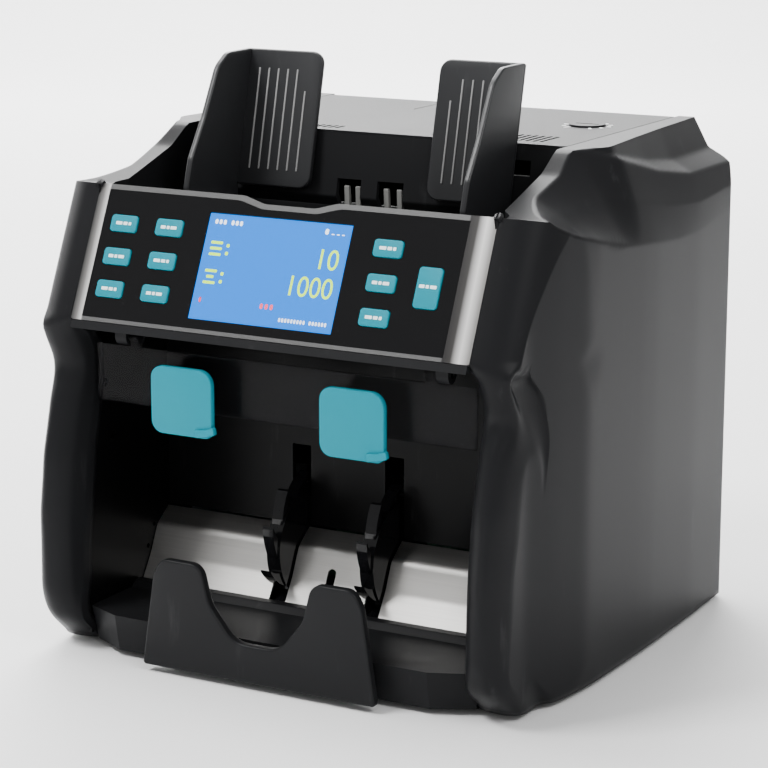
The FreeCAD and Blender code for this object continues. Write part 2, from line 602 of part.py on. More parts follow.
def pickup_shaft():
    parts = [rod(-113, 108, PICK_Y, PICK_Z, SHAFT_R), gear(-112.5, -108, PICK_Y, PICK_Z, 17.0, 24)]
    for x in (-33, 33):
        parts.append(rod(x - 6.4, x + 6.4, PICK_Y, PICK_Z, 8.0))
    return fuse(parts)


def tyres(y, z, r, inner, half, centres):
    rings = []
    for x in centres:
        rings.append(rod(x - half, x + half, y, z, r).cut(rod(x - half - 1, x + half + 1, y, z, inner)))
    return Part.makeCompound(rings)


def feed_shaft():
    parts = [rod(-113, 118, FEED_Y, FEED_Z, SHAFT_R), gear(-112.5, -108, FEED_Y, FEED_Z, 17.0, 24)]
    for x in (-33, 33):
        parts.append(rod(x - 9, x + 9, FEED_Y, FEED_Z, 10.0))
    return fuse(parts)


def stacker_shaft():
    parts = [rod(-108, 113, STACK_Y, STACK_Z, SHAFT_R)]
    return fuse(parts)


def impeller():
    """Stacker wheel: a disc with ten swept, pointed fins."""
    parts = [rod(21.4, 28.6, STACK_Y, STACK_Z, 26.0)]
    for k in range(10):
        base = 2.0 * math.pi * k / 10
        near = []
        far = []
        for j in range(7):
            f = j / 6.0
            r = 24.0 + 9.4 * f
            a = base + 0.42 * f
            half = (5.6 - 5.0 * f) / r
            near.append((STACK_Y - r * math.cos(a - half), STACK_Z + r * math.sin(a - half)))
            far.append((STACK_Y - r * math.cos(a + half), STACK_Z + r * math.sin(a + half)))
        ring = [lift("YZ", p[0], p[1], 22.2) for p in near + list(reversed(far))]
        parts.append(Part.Face(Part.makePolygon(ring + [ring[0]])).extrude(vec(5.6, 0, 0)))
    return fuse(parts).cut(rod(20, 30, STACK_Y, STACK_Z, SHAFT_R))


def pulley(x0, x1, y, z, r, bore):
    rim = [rod(x0, x1, y, z, r), rod(x0, x0 + 0.6, y, z, r + 1.6), rod(x1 - 0.6, x1, y, z, r + 1.6)]
    return fuse(rim).cut(rod(x0 - 1, x1 + 1, y, z, bore))


def belt(x0, x1, a, b):
    """Flat belt round two circles given as (y, z, r)."""
    def band(grow):
        ra, rb = a[2] + grow, b[2] + grow
        dy, dz = b[0] - a[0], b[1] - a[1]
        length = math.hypot(dy, dz)
        phi = math.atan2(dz, dy)
        turn = math.acos((ra - rb) / length)
        pts = []
        for s in (1, -1):
            pts.append((a[0] + ra * math.cos(phi + s * turn), a[1] + ra * math.sin(phi + s * turn)))
            pts.append((b[0] + rb * math.cos(phi + s * turn), b[1] + rb * math.sin(phi + s * turn)))
        ring = [pts[0], pts[1], pts[3], pts[2]]
        web = slab(ring, "YZ", x0, x1)
        return fuse([web, rod(x0, x1, a[0], a[1], ra), rod(x0, x1, b[0], b[1], rb)])
    return band(1.3).cut(band(0.25))


def motor():
    can = rod(48, 103.0, MOTOR_Y, MOTOR_Z, 19.0)
    flange = slab([(MOTOR_Y - 21, MOTOR_Z - 21, 4), (MOTOR_Y + 21, MOTOR_Z - 21, 4),
                   (MOTOR_Y + 21, MOTOR_Z + 21, 4), (MOTOR_Y - 21, MOTOR_Z + 21, 4)], "YZ", 102, PLATE_X)
    collar = rod(PLATE_X, PLATE_X + 1.6, MOTOR_Y, MOTOR_Z, 7.0)
    tail = rod(44, 48, MOTOR_Y, MOTOR_Z, 6.0)
    body = fuse([can, flange, collar, tail])
    return body.cut(rod(60, 120, MOTOR_Y, MOTOR_Z, 2.5 + RUN))


def motor_pulley():
    shaft = rod(62, 117.2, MOTOR_Y, MOTOR_Z, 2.5)
    wheel = pulley(108, 116.6, MOTOR_Y, MOTOR_Z, 9.0, 1.0)
    return fuse([shaft, wheel])


def note_chute():
    """Curved guide leading notes from the feed rollers down to the wheels."""
    body = slab([(106, 160), (109, 160), (112, 120, 20), (108, 84, 10), (103.4, 72), (100.9, 73.2),
                 (104.6, 86, 10), (108.6, 120, 18)], "YZ", -95, 95)
    ears = [box(95, PLATE_X, 104, 112, 110, 124), box(-PLATE_X, -95, 104, 112, 110, 124)]
    return fuse([body] + ears)


# ---------------------------------------------------------------- electrics and rear
def main_board():
    parts = [box(-78, 20, 122, 212, 10.0, 11.6)]
    for x, y, w, d, h in ((-60, 140, 18, 18, 2), (-20, 150, 24, 12, 3), (-55, 195, 12, 10, 9), (5, 195, 14, 10, 12), (-30, 180, 10, 10, 5)):
        parts.append(box(x - w / 2, x + w / 2, y - d / 2, y + d / 2, 11.5, 11.5 + h))
    return fuse(parts)


def power_supply():
    parts = [box(38, 96, 128, 214, 3.5, 6.0), box(42, 60, 140, 170, 5.9, 34), post(80, 150, 5.9, 30, 9)]
    parts += [box(68, 92, 182, 208, 5.9, 28), post(50, 190, 5.9, 26, 6)]
    return fuse(parts)


def rear_cover():
    panel = box(-HOPPER_X + 0.3, HOPPER_X - 0.3, 229.0, REAR_Y, 1.0, 221.0)
    tools = [slab([(44, 26, 2), (72, 26, 2), (72, 46, 2), (44, 46, 2)], "XZ", 220, 240)]
    tools.append(slab([(80, 26, 1), (92.4, 26, 1), (92.4, 46, 1), (80, 46, 1)], "XZ", 220, 240))
    tools.append(box(-82, -10, 220, 240, 24, 46))
    for i in range(9):
        z = 90 + 9 * i
        tools.append(slab([(-60, z, 1.4), (60, z, 1.4), (60, z + 3, 1.4), (-60, z + 3, 1.4)], "XZ", 220, 240))
    lip = box(-90, 90, 226.8, 229.2, 4.0, 12.0).cut(box(-91, 91, 226, 228.7, 3, 13))
    return cut(fuse([panel, lip]), tools)


def power_inlet():
    flange = slab([(44.3, 26.3, 2), (71.7, 26.3, 2), (71.7, 45.7, 2), (44.3, 45.7, 2)], "XZ", 208, 231.6)
    well = slab([(47, 29), (69, 29), (69, 39), (65, 43), (51, 43), (47, 39)], "XZ", 215, 240)
    pins = []
    for x, z in ((52, 35), (58, 38), (64, 35)):
        pins.append(box(x - 1, x + 1, 214, 228, z - 2, z + 2))
    return fuse([cut(flange, [well])] + pins)


def switch_frame():
    ring = slab([(80.2, 26.2, 1), (92.2, 26.2, 1), (92.2, 45.8, 1), (80.2, 45.8, 1)], "XZ", 214, 231.8)
    hole = box(81.6, 90.8, 216, 240, 27.6, 44.4)
    axle = rod(81.0, 91.4, 226, 36, 1.2)
    return fuse([cut(ring, [hole]), axle])


def power_switch():
    """Rocker on a cross pin."""
    body = slab([(222, 29.5), (231.4, 29.0, 1), (229.8, 36, 12), (231.8, 43.0, 1), (222, 42.5)], "YZ", 82.0, 90.4)
    return cut(body, [rod(80, 92, 226, 36, 1.2 + RUN)])


def io_ports():
    block = box(-81.7, -10.3, 212, 231.4, 24.3, 45.7)
    holes = [box(-76, -62, 222, 240, 29, 40), box(-56, -43, 222, 240, 30, 36), box(-38, -25, 222, 240, 29, 41)]
    holes.append(Part.makeCylinder(3.2, 20, vec(-18, 222, 35), vec(0, 1, 0)))
    return cut(block, holes)


def rubber_feet():
    feet = []
    for x in (-82, 82):
        for y in (34, 206):
            foot = post(x, y, -FOOT, 0.4 if y > 50 else 0.0, 8.0)
            feet.append(foot)
    return Part.makeCompound(feet)


def screws():
    heads = []
    for x in (-88, 88):
        for z in (60, 200):
            heads.append(Part.makeCylinder(2.8, 1.4, vec(x, REAR_Y, z), vec(0, -1, 0)))
    for x in (-92, 92):
        heads.append(Part.makeCylinder(2.2, 1.2, vec(x, 110, 0.5), vec(0, 0, -1)))
    return heads


def main():
    shell = side_shell()
    export(shell, "right_side_shell")
    export(mirror(shell), "left_side_shell")
    export(base_tray(), "base_tray")
    export(panel_bezel(), "panel_bezel")
    export(panel_overlay(), "panel_overlay")
    for name, x, s in KEYS:
        export(key_cap(x, s, KEY_W, KEY_H), name)
    export(key_cap(*RESET), "key_reset")
    export(display_window(), "display_window")
    export(lcd_module(), "lcd_module")
    export(keypad_board(), "keypad_board")
    export(head_housing(), "head_housing")
    export(hopper_tray(), "hopper_tray")
    export(note_fingers(), "note_fingers")
    export(top_cover(), "top_cover")
    export(service_hatch(), "service_hatch")
    export(thickness_knob(), "thickness_knob")
    export(guide(), "guide_right")
    export(guide_left(), "guide_left")
    export(guide_pinion(), "guide_pinion")
    export(stopper_plate(), "stopper_plate")
    export(stacker_plate(), "stacker_plate")
    export(pocket_back(), "pocket_back")
    wall = inner_wall()
    export(wall, "right_inner_wall")
    export(mirror(wall), "left_inner_wall")
    export(stacker_shield(), "stacker_shield")
    tab = shield_tab()
    left_tab = tab.copy()
    left_tab.translate(vec(-88.0, 0, 0))
    export(Part.makeCompound([tab, left_tab]), "shield_tabs")
    export(frame_plate(1), "frame_plate_right")
    export(mirror(frame_plate(-1)), "frame_plate_left")
    export(pickup_shaft(), "pickup_shaft")
    export(tyres(PICK_Y, PICK_Z, 13.0, 8.0, 6.0, (-33, 33)), "pickup_tyres")
    export(feed_shaft(), "feed_shaft")
    export(tyres(FEED_Y, FEED_Z, 15.0, 10.0, 8.0, (-33, 33)), "feed_tyres")
    export(pulley(112.4, 116.6, FEED_Y, FEED_Z, 12.0, SHAFT_R), "feed_pulley")
    export(stacker_shaft(), "stacker_shaft")
    wheel = impeller()
    export(wheel, "impeller_right")
    export(mirror(wheel), "impeller_left")
    export(pulley(108.0, 112.0, STACK_Y, STACK_Z, 14.0, SHAFT_R), "stacker_pulley")
    export(motor(), "motor")
    export(motor_pulley(), "motor_pulley")
    export(belt(113.1, 115.9, (MOTOR_Y, MOTOR_Z, 9.0), (FEED_Y, FEED_Z, 12.0)), "feed_belt")
    export(belt(108.8, 111.2, (MOTOR_Y, MOTOR_Z, 9.0), (STACK_Y, STACK_Z, 14.0)), "stacker_belt")
    export(note_chute(), "note_chute")
    export(main_board(), "main_board")
    export(power_supply(), "power_supply")
    heads = screws()
    rear = rear_cover().cut(heads[:4])
    export(rear, "rear_cover")
    export(power_inlet(), "power_inlet")
    export(switch_frame(), "switch_frame")
    export(power_switch(), "power_switch")
    export(io_ports(), "io_ports")
    export(rubber_feet(), "rubber_feet")
    export(Part.makeCompound(heads), "screws")


main()
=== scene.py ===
import math

import bpy
import numpy as np
from bpy.props import FloatProperty, FloatVectorProperty, PointerProperty
from bpy.types import Operator, Panel, PropertyGroup
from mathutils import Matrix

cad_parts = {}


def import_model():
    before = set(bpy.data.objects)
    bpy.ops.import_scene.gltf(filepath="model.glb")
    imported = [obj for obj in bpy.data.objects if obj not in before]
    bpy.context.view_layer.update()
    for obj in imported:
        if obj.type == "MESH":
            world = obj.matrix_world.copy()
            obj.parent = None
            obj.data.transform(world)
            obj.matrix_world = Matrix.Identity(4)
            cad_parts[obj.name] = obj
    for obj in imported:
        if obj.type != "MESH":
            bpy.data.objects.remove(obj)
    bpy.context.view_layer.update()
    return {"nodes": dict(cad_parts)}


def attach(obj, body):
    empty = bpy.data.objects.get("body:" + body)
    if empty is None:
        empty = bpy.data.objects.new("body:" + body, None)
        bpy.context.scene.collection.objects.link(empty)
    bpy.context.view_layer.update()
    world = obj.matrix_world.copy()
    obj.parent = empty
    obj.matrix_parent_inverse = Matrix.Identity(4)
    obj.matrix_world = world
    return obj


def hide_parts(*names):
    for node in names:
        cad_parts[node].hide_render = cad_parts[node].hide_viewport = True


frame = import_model()

bl_info = {
    "name": "Banknote Counter Surfaces",
    "version": (1, 0, 0),
    "blender": (4, 5, 0),
    "location": "View3D > Sidebar > Counter",
    "description": "Moulded shells, note guides, control panel and finishes of a banknote counter",
    "category": "Add Mesh",
}

# the machine's drawing frame: millimetres, Y = 0 at the panel's lower edge, Z = 0 under the base
DEPTH_SHIFT = 111.2
FOOT = 3.0
TILT = math.radians(24.5)
PANEL_Z = 156.6
PANEL_L = 64.5
TOP_Z = 236.0
KNOB_X, KNOB_Y = 74.0, 176.0
BASE_FRONT_Y = -9.6
GUIDE_FOOT = (0, 93.0, 208.5)
GUIDE_LEAN = math.radians(13.4)
GUIDE_X = 72.0
MM = 1000.0
REAR_Y = 232.0


def length(label, text, value):
    """A size property in metres."""
    return FloatProperty(name=label, description=text, default=value, unit="LENGTH", precision=5)


def colour(label, text, value):
    """A linear colour property."""
    return FloatVectorProperty(name=label, description=text, default=value, subtype="COLOR", size=3, min=0.0, max=1.0)


class CounterSizes(PropertyGroup):
    """Sizes of the pieces made here."""
    skin: length("Shell skin", "Thickness of the moulded side shells", 0.0022)
    guide_wall: length("Guide wall", "Thickness of the note guides", 0.003)
    guide_edge: length("Guide edge", "Edge rounding of the note guides", 0.0009)
    stop_edge: length("Stop edge", "Edge rounding of the note stop", 0.0011)
    key_edge: length("Key edge", "Edge rounding of the key caps", 0.0005)
    tab_edge: length("Tab edge", "Edge rounding of the finger tabs", 0.0007)
    mark: length("Printed mark", "Height of printed marks above their surface", 0.00012)


class CounterColours(PropertyGroup):
    """Colours of the machine."""
    shell: colour("Shell", "Charcoal of the moulded shells", (0.0105, 0.0107, 0.0116))
    guide: colour("Guide", "Charcoal of the note guides", (0.0165, 0.017, 0.0185))
    inner: colour("Inner", "Black of the pocket and the hidden mouldings", (0.0055, 0.0055, 0.006))
    gloss: colour("Overlay", "Gloss black of the panel overlay", (0.0025, 0.0025, 0.003))
    teal: colour("Teal", "Key caps and finger tabs", (0.0, 0.22, 0.29))
    # painted reflection: this colour is the brightest tone of the reflection painted along the panel strips
    strip: colour("Strip", "Bright end of the panel strips", (0.62, 0.61, 0.60))
    screen: colour("Screen", "Display background", (0.0, 0.235, 1.0))
    digits: colour("Digits", "Large display digits", (0.50, 0.90, 0.0))
    steel: colour("Steel", "Stainless stacker plate", (0.76, 0.745, 0.72))
    floor: colour("Floor", "Studio floor", (0.97, 0.97, 0.97))


# ---------------------------------------------------------------- shader building
class Value:
    """One node output that can be used in sums and products."""

    def __init__(self, finish, socket):
        self.finish = finish
        self.socket = socket

    def maths(self, operation, a, b):
        return self.finish.node("ShaderNodeMath", {"operation": operation}, {0: a, 1: b})

    def __add__(self, other):
        return self.maths("ADD", self, other)

    def __sub__(self, other):
        return self.maths("SUBTRACT", self, other)

    def __mul__(self, other):
        return self.maths("MULTIPLY", self, other)

    def __rsub__(self, other):
        return self.maths("SUBTRACT", other, self)

    __radd__ = __add__
    __rmul__ = __mul__


class Finish:
    """A node material under construction."""

    def __init__(self, name):
        self.material = bpy.data.materials.new(name)
        self.material.use_nodes = True
        self.tree = self.material.node_tree
        self.tree.nodes.clear()

    def node(self, kind, settings, inputs, output=0):
        """Add a node, its settings first, then the values or links of its sockets."""
        made = self.tree.nodes.new(kind)
        for key, value in settings.items():
            if key != "stops":
                setattr(made, key, value)
                continue
            ramp = made.color_ramp
            while len(ramp.elements) < len(value):
                ramp.elements.new(0.5)
            for element, (place, shade) in zip(ramp.elements, value):
                element.position = place
                element.color = (*shade, 1.0)
        for key, value in inputs.items():
            if isinstance(value, Value):
                self.tree.links.new(value.socket, made.inputs[key])
            else:
                made.inputs[key].default_value = value
        return Value(self, made.outputs[output])

    def place(self, stretch=(1.0, 1.0, 1.0)):
        """Object coordinates, stretched along each axis."""
        raw = self.node("ShaderNodeTexCoord", {}, {}, "Object")
        return self.node("ShaderNodeMapping", {}, {"Vector": raw, "Scale": stretch})

    def noise(self, at, scale, detail=3.0, roughness=0.5):
        inputs = {"Vector": at, "Scale": scale, "Detail": detail, "Roughness": roughness}
        return self.node("ShaderNodeTexNoise", {}, inputs)

    def between(self, amount, low, high):
        """Number that runs from low to high as amount goes from 0 to 1."""
        return self.node("ShaderNodeMapRange", {}, {"Value": amount, "To Min": low, "To Max": high})

    def step(self, amount, start, stop):
        """0 below start, 1 above stop."""
        return self.node("ShaderNodeMapRange", {}, {"Value": amount, "From Min": start, "From Max": stop})

    def mix(self, amount, low, high):
        return self.node("ShaderNodeMix", {"data_type": "RGBA"}, {0: amount, 6: low, 7: high}, 2)

    def bump(self, height, strength, distance):
        return self.node("ShaderNodeBump", {}, {"Height": height, "Strength": strength, "Distance": distance})


def rgba(shade, gain=1.0):
    return (shade[0] * gain, shade[1] * gain, shade[2] * gain, 1.0)


def add_output(finish, surface):
    out = finish.tree.nodes.new("ShaderNodeOutputMaterial")
    finish.tree.links.new(surface.socket, out.inputs["Surface"])
    return finish.material


def principled(finish, inputs):
    """Principled surface joined to the output."""
    return add_output(finish, finish.node("ShaderNodeBsdfPrincipled", {}, inputs))


def moulded_plastic(name, shade, rough, grain=0.35, fine=2300.0, gloss=0.25):
    """Spark-eroded moulded plastic: fine grain in the bump, slow cloudiness, faint handling marks."""
    f = Finish(name)
    at = f.place()
    cloud = f.noise(at, 9.0, 4.0)
    pits = f.noise(at, fine, 2.0, 0.6)
    rubs = f.noise(f.place((40.0, 40.0, 6.0)), 3.0, 5.0, 0.65)
    base = f.mix(cloud, rgba(shade, 0.86), rgba(shade, 1.18))
    base = f.mix(f.step(rubs, 0.62, 0.8) * 0.10, base, rgba((0.16, 0.16, 0.165)))
    roughness = rough + (pits - 0.5) * 0.10 + (cloud - 0.5) * 0.08
    normal = f.bump(pits, grain, 0.00006)
    return principled(f, {"Base Color": base, "Roughness": roughness, "Normal": normal, "Specular IOR Level": gloss})


def polished_plastic(name, shade, rough, smear=0.06, gloss=0.3):
    """Gloss plastic with finger smears that only change its roughness."""
    f = Finish(name)
    at = f.place()
    smears = f.noise(f.place((1.0, 1.0, 2.4)), 26.0, 5.0, 0.62)
    dust = f.noise(at, 900.0, 2.0)
    base = f.mix(f.step(dust, 0.70, 0.80) * 0.04, rgba(shade), rgba((0.25, 0.25, 0.25)))
    roughness = rough + f.step(smears, 0.45, 0.8) * smear
    wave = f.noise(at, 30.0, 1.0)
    return principled(f, {"Base Color": base, "Roughness": roughness, "Normal": f.bump(wave, 0.05, 0.0002),
                          "Specular IOR Level": gloss})


def strip_with_painted_reflection(name, highlight_tone):
    """Metallised strip with a painted reflection: dark beside the overlay, light towards each outer end, fine
    vertical brushing.
    """
    f = Finish(name)
    across = f.node("ShaderNodeSeparateXYZ", {}, {"Vector": f.place()}, "X")
    # painted reflection: these ramps paint the strips' reflection as colour, dark near the overlay and brightest
    # towards each outer end
    right = f.node("ShaderNodeValToRGB", {"stops": [(0.0, (0.012, 0.011, 0.011)), (0.3, (0.03, 0.028, 0.027)),
                                                    (0.66, tuple(highlight_tone)), (1.0, (0.2, 0.195, 0.19))]},
                   {"Fac": f.step(across, 0.0893, 0.1012)})
    left = f.node("ShaderNodeValToRGB", {"stops": [(0.0, (0.02, 0.02, 0.02)), (0.5, (0.16, 0.155, 0.15)),
                                                   (1.0, tuple(highlight_tone))]},
                  {"Fac": f.step(across, -0.102, -0.0965)})
    painted_reflection = f.mix(f.step(across, 0.0, 0.001), left, right)
    lines = f.noise(f.place((3000.0, 30.0, 30.0)), 1.0, 3.0)
    inside = f.step(across, 0.0885, 0.0892) + f.step(0.0 - across, 0.0958, 0.0965)
    base = f.mix(inside, rgba((0.10, 0.10, 0.10)), painted_reflection)
    return principled(f, {"Base Color": base, "Metallic": 0.4, "Roughness": 0.3 + lines * 0.12,
                          "Normal": f.bump(lines, 0.12, 0.00003)})


def brushed_steel(name, shade, along=(1.0, 260.0, 260.0), rough=0.22):
    """Sheet metal brushed in one direction, with slow tone changes and a few deeper lines."""
    f = Finish(name)
    lines = f.noise(f.place(along), 9.0, 6.0, 0.7)
    deep = f.step(f.noise(f.place((along[0], along[1] * 2.2, along[2] * 2.2)), 6.0, 2.0), 0.62, 0.72)
    tone = f.noise(f.place(), 14.0, 3.0)
    base = f.mix(lines, rgba(shade, 0.78), rgba(shade, 1.1))
    base = f.mix(tone * 0.25, base, rgba(shade, 0.62))
    return principled(f, {"Base Color": base, "Metallic": 1.0, "Roughness": rough + lines * 0.16 + deep * 0.05,
                          "Normal": f.bump(lines + deep * 0.5, 0.22, 0.00004)})


def rubber(name):
    """Matt rubber with a fine sanded tooth."""
    f = Finish(name)
    tooth = f.noise(f.place(), 3600.0, 2.0)
    bloom = f.noise(f.place(), 60.0, 4.0)
    base = f.mix(bloom, rgba((0.012, 0.012, 0.012)), rgba((0.028, 0.027, 0.026)))
    return principled(f, {"Base Color": base, "Roughness": 0.72 + tooth * 0.15, "Normal": f.bump(tooth, 0.5, 0.0001)})


def circuit_board(name):
    """Green solder mask with copper tracks showing through."""
    f = Finish(name)
    inputs = {"Vector": f.place((90.0, 90.0, 90.0)), "Scale": 4.0, "Mortar Size": 0.05,
              "Mortar": rgba((0.06, 0.22, 0.10)), "Color1": rgba((0.012, 0.10, 0.045)), "Color2": rgba((0.016, 0.12, 0.05))}
    tracks = f.node("ShaderNodeTexBrick", {}, inputs)
    grain = f.noise(f.place(), 400.0, 3.0)
    base = f.mix(grain * 0.3, tracks, rgba((0.01, 0.06, 0.03)))
    return principled(f, {"Base Color": base, "Roughness": 0.32 + grain * 0.15, "Normal": f.bump(grain, 0.1, 0.0001)})


def lit_screen(name, shade):
    """Backlit display: a fine cell grid, a little brighter in the middle."""
    f = Finish(name)
    cells = f.node("ShaderNodeTexChecker", {}, {"Vector": f.place((1000.0, 1000.0, 1000.0)), "Scale": 3.2,
                                                "Color1": rgba(shade, 0.96), "Color2": rgba(shade, 1.0)})
    glow = f.noise(f.place(), 16.0, 1.0)
    tone = f.mix(glow * 0.35, cells, rgba((0.02, 0.30, 1.0)))
    return principled(f, {"Base Color": rgba(shade, 0.3), "Emission Color": tone, "Emission Strength": 1.15,
                          "Roughness": 0.16 + glow * 0.05, "Specular IOR Level": 0.15})


def lit_mark(name, shade, strength):
    """Bright printed or lit mark, with a faint uneven edge tone. The emission is real light on display marks and a
    painted glow on printed marks.
    """
    f = Finish(name)
    grain = f.noise(f.place(), 700.0, 2.0)
    tone = f.mix(grain * 0.2, rgba(shade), rgba(shade, 0.8))
    return principled(f, {"Base Color": tone, "Emission Color": tone, "Emission Strength": strength,
                          "Roughness": 0.4 + grain * 0.1})


def smoked_pane(name):
    """Dark see-through acrylic with light smears."""
    f = Finish(name)
    smears = f.noise(f.place(), 30.0, 5.0)
    return principled(f, {"Base Color": rgba((0.004, 0.004, 0.005)), "Alpha": 0.34 + smears * 0.1,
                          "Roughness": 0.06 + f.step(smears, 0.5, 0.9) * 0.1, "Specular IOR Level": 0.12})


# ---------------------------------------------------------------- mesh building
def world(points):
    """Drawing millimetres to frame metres."""
    return (np.asarray(points, float) + (0.0, -DEPTH_SHIFT, FOOT)) * 0.001


def make_piece(name, points, faces, material, body, slot, smooth=35.0):
    """Mesh object from an (n, 3) array in drawing millimetres and a list of face index rows."""
    mesh = bpy.data.meshes.new(name)
    mesh.from_pydata(world(points).tolist(), [], faces)
    mesh.update()
    mesh.shade_smooth()
    mesh.set_sharp_from_angle(angle=math.radians(smooth))
    mesh.materials.append(material)
    piece = bpy.data.objects.new(name, mesh)
    bpy.context.scene.collection.objects.link(piece)
    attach(piece, body)
    return piece


def grid_faces(rows, columns, closed=False, start=0, flip=False):
    """Quads of a grid of points stored row by row, optionally joined round its columns."""
    wide = columns if closed else columns - 1
    i, j = np.meshgrid(np.arange(rows - 1), np.arange(wide), indexing="ij")
    a = start + i * columns + j
    b = start + i * columns + (j + 1) % columns
    quads = np.stack([a, b, b + columns, a + columns], axis=-1).reshape(-1, 4)
    return (quads[:, ::-1] if flip else quads).tolist()


def rounded(corners, steps=8):
    """Closed outline of (a, b, radius) corners: each corner is an arc that touches both of its edges."""
    pts = np.array([c[:2] for c in corners], float)
    radii = np.array([c[2] for c in corners], float)
    back = np.roll(pts, 1, 0) - pts
    ahead = np.roll(pts, -1, 0) - pts
    back /= np.linalg.norm(back, axis=1)[:, None]
    ahead /= np.linalg.norm(ahead, axis=1)[:, None]
    half = 0.5 * np.arccos(np.clip((back * ahead).sum(1), -1, 1))
    middle = back + ahead
    middle /= np.maximum(np.linalg.norm(middle, axis=1), 1e-9)[:, None]
    centre = pts + middle * (radii / np.sin(half))[:, None]
    first = pts + back * (radii / np.tan(half))[:, None] - centre
    last = pts + ahead * (radii / np.tan(half))[:, None] - centre
    a0 = np.arctan2(first[:, 1], first[:, 0])
    turn = np.arctan2(last[:, 1], last[:, 0]) - a0
    turn = (turn + np.pi) % (2 * np.pi) - np.pi
    t = np.linspace(0, 1, steps)
    angle = a0[:, None] + turn[:, None] * t
    ring = centre[:, None] + radii[:, None, None] * np.stack([np.cos(angle), np.sin(angle)], -1)
    ring = ring.reshape(-1, 2)
    keep = np.linalg.norm(ring - np.roll(ring, 1, 0), axis=1) > 1e-4
    ring = ring[keep]
    area = 0.5 * np.sum(ring[:, 0] * np.roll(ring[:, 1], -1) - ring[:, 1] * np.roll(ring[:, 0], -1))
    return ring if area > 0 else ring[::-1]


def rounded_plate(ring, low, high, edge, steps=4):
    """Plate whose rim is a quarter round of radius edge on each side, carried along the outline.

    Returns points (a, b, height) and faces; the outline runs anticlockwise."""
    tangent = np.roll(ring, -1, 0) - np.roll(ring, 1, 0)
    tangent /= np.linalg.norm(tangent, axis=1)[:, None]
    inward = np.stack([-tangent[:, 1], tangent[:, 0]], -1)
    phi = np.linspace(0, np.pi / 2, steps + 1)
    inset = edge * (1 - np.sin(phi))
    drop = edge * (1 - np.cos(phi))
    inset = np.concatenate([inset, inset[::-1]])
    level = np.concatenate([high - drop, (low + drop)[::-1]])
    flat = ring[None] + inward[None] * inset[:, None, None]
    pts = np.concatenate([flat, np.broadcast_to(level[:, None, None], flat.shape[:2] + (1,))], -1)
    rows, columns = flat.shape[:2]
    faces = grid_faces(rows, columns, closed=True, flip=True)
    faces.append(list(range(columns)))
    faces.append(list(range((rows - 1) * columns, rows * columns))[::-1])
    return pts.reshape(-1, 3), faces


def lay(points, origin, a_axis, b_axis, h_axis):
    """Carry (a, b, height) points to origin + a*a_axis + b*b_axis + height*h_axis."""
    return np.asarray(origin, float) + points @ np.array([a_axis, b_axis, h_axis], float)


def leaning(points, origin, lean):
    """Plate drawn in (X, up the slope, outward) on a face through origin that leans back by an angle."""
    up = (0.0, math.sin(lean), math.cos(lean))
    out = (0.0, -math.cos(lean), math.sin(lean))
    return lay(points, origin, (1.0, 0.0, 0.0), up, out)


def on_panel(points):
    """Panel coordinates to space."""
    return leaning(points, (0.0, 0.0, PANEL_Z), TILT)


def on_guide(points):
    """Coordinates of a note guide's rear wall to space."""
    return leaning(points, GUIDE_FOOT, GUIDE_LEAN)


def facing_front(points):
    """Plate drawn in (X, Z), its height towards the front."""
    return lay(points, (0, 0, 0), (1, 0, 0), (0, 0, 1), (0, -1, 0))


def facing_right(points):
    """Plate drawn in (Y, Z), its height towards +X."""
    return lay(points, (0, 0, 0), (0, 1, 0), (0, 0, 1), (1, 0, 0))


def join(parts):
    """Several (points, faces) sets as one."""
    points, faces, start = [], [], 0
    for pts, quads in parts:
        points.append(pts)
        faces += [[start + k for k in face] for face in quads]
        start += len(pts)
    return np.concatenate(points), faces


def mirrored(points, faces):
    """The same surface on the other side of the machine, still facing outwards."""
    return points * (-1.0, 1.0, 1.0), [face[::-1] for face in faces]


# ---------------------------------------------------------------- side shells
def soft(x, knots, width):
    """Straight-line reading of (place, value) knots, averaged over +-width so that it has no corners."""
    knots = np.array(knots, float)
    shifts = np.linspace(-1, 1, 9)
    weights = np.cos(shifts * np.pi / 2) ** 2 + 0.05
    reads = [w * np.interp(x + s * width, knots[:, 0], knots[:, 1]) for s, w in zip(shifts, weights)]
    return sum(reads) / weights.sum()


POCKET_EDGE = [(0, 16), (12, 2), (19, 0.3), (28, 2.4), (48, 3.4), (70, 6.9), (92, 9.5),
               (118, 15.5), (134, 17.2), (142, 16), (149, 11.8), (155, 5)]
PILLAR_NOSE = [(0, 14), (4, 8), (13, -2.3), (28, -8.4), (65, -9.6), (92, -6.2), (118, 1.6),
               (128, 6.8), (134, 7.7), (144, 2.8), (155, -1)]
FACE_EDGE_X = [(0, 121), (20, 123), (70, 124.5), (110, 124), (122, 122), (139, 119), (155, 117)]
FACE_EDGE_Y = [(0, 20), (20, 3), (69, 13.3), (81, 17.2), (110, 20), (122, 20.8), (139, 14.6), (155, 3)]
SHELL_EDGE_X = [(0, 126.5), (10, 128.5), (30, 129.3), (120, 129.3), (140, 127.5), (155, 124)]
SHELL_EDGE_Y = [(0, 42), (11, 34.6), (32, 27), (68, 31.5), (81, 33.8), (120, 37.2), (140, 33), (155, 20)]
SIDE = [(130.6, 75), (131.3, 125), (131.3, 180), (130.8, 213), (127.5, 226), (118.0, 231.2), (97.4, REAR_Y)]
WALL_TOP = [(26.9, 215.2), (35, 213.6), (56, 220), (78, 227), (92.5, TOP_Z), (240, TOP_Z)]
CREASE = [(15, 222), (38, 210), (56, 204), (96, 195), (112, 193), (150, 189.5), (182, 189.5), (236, 197)]
RIDGE_X = [(15, 112), (38, 104), (56, 101), (96, 105), (112, 119), (150, 123.5), (182, 126), (236, 126.5)]
RIDGE_Z = [(15, 240), (38, 219), (56, 222), (96, 237), (112, 231), (150, 221), (182, 216), (236, 216)]
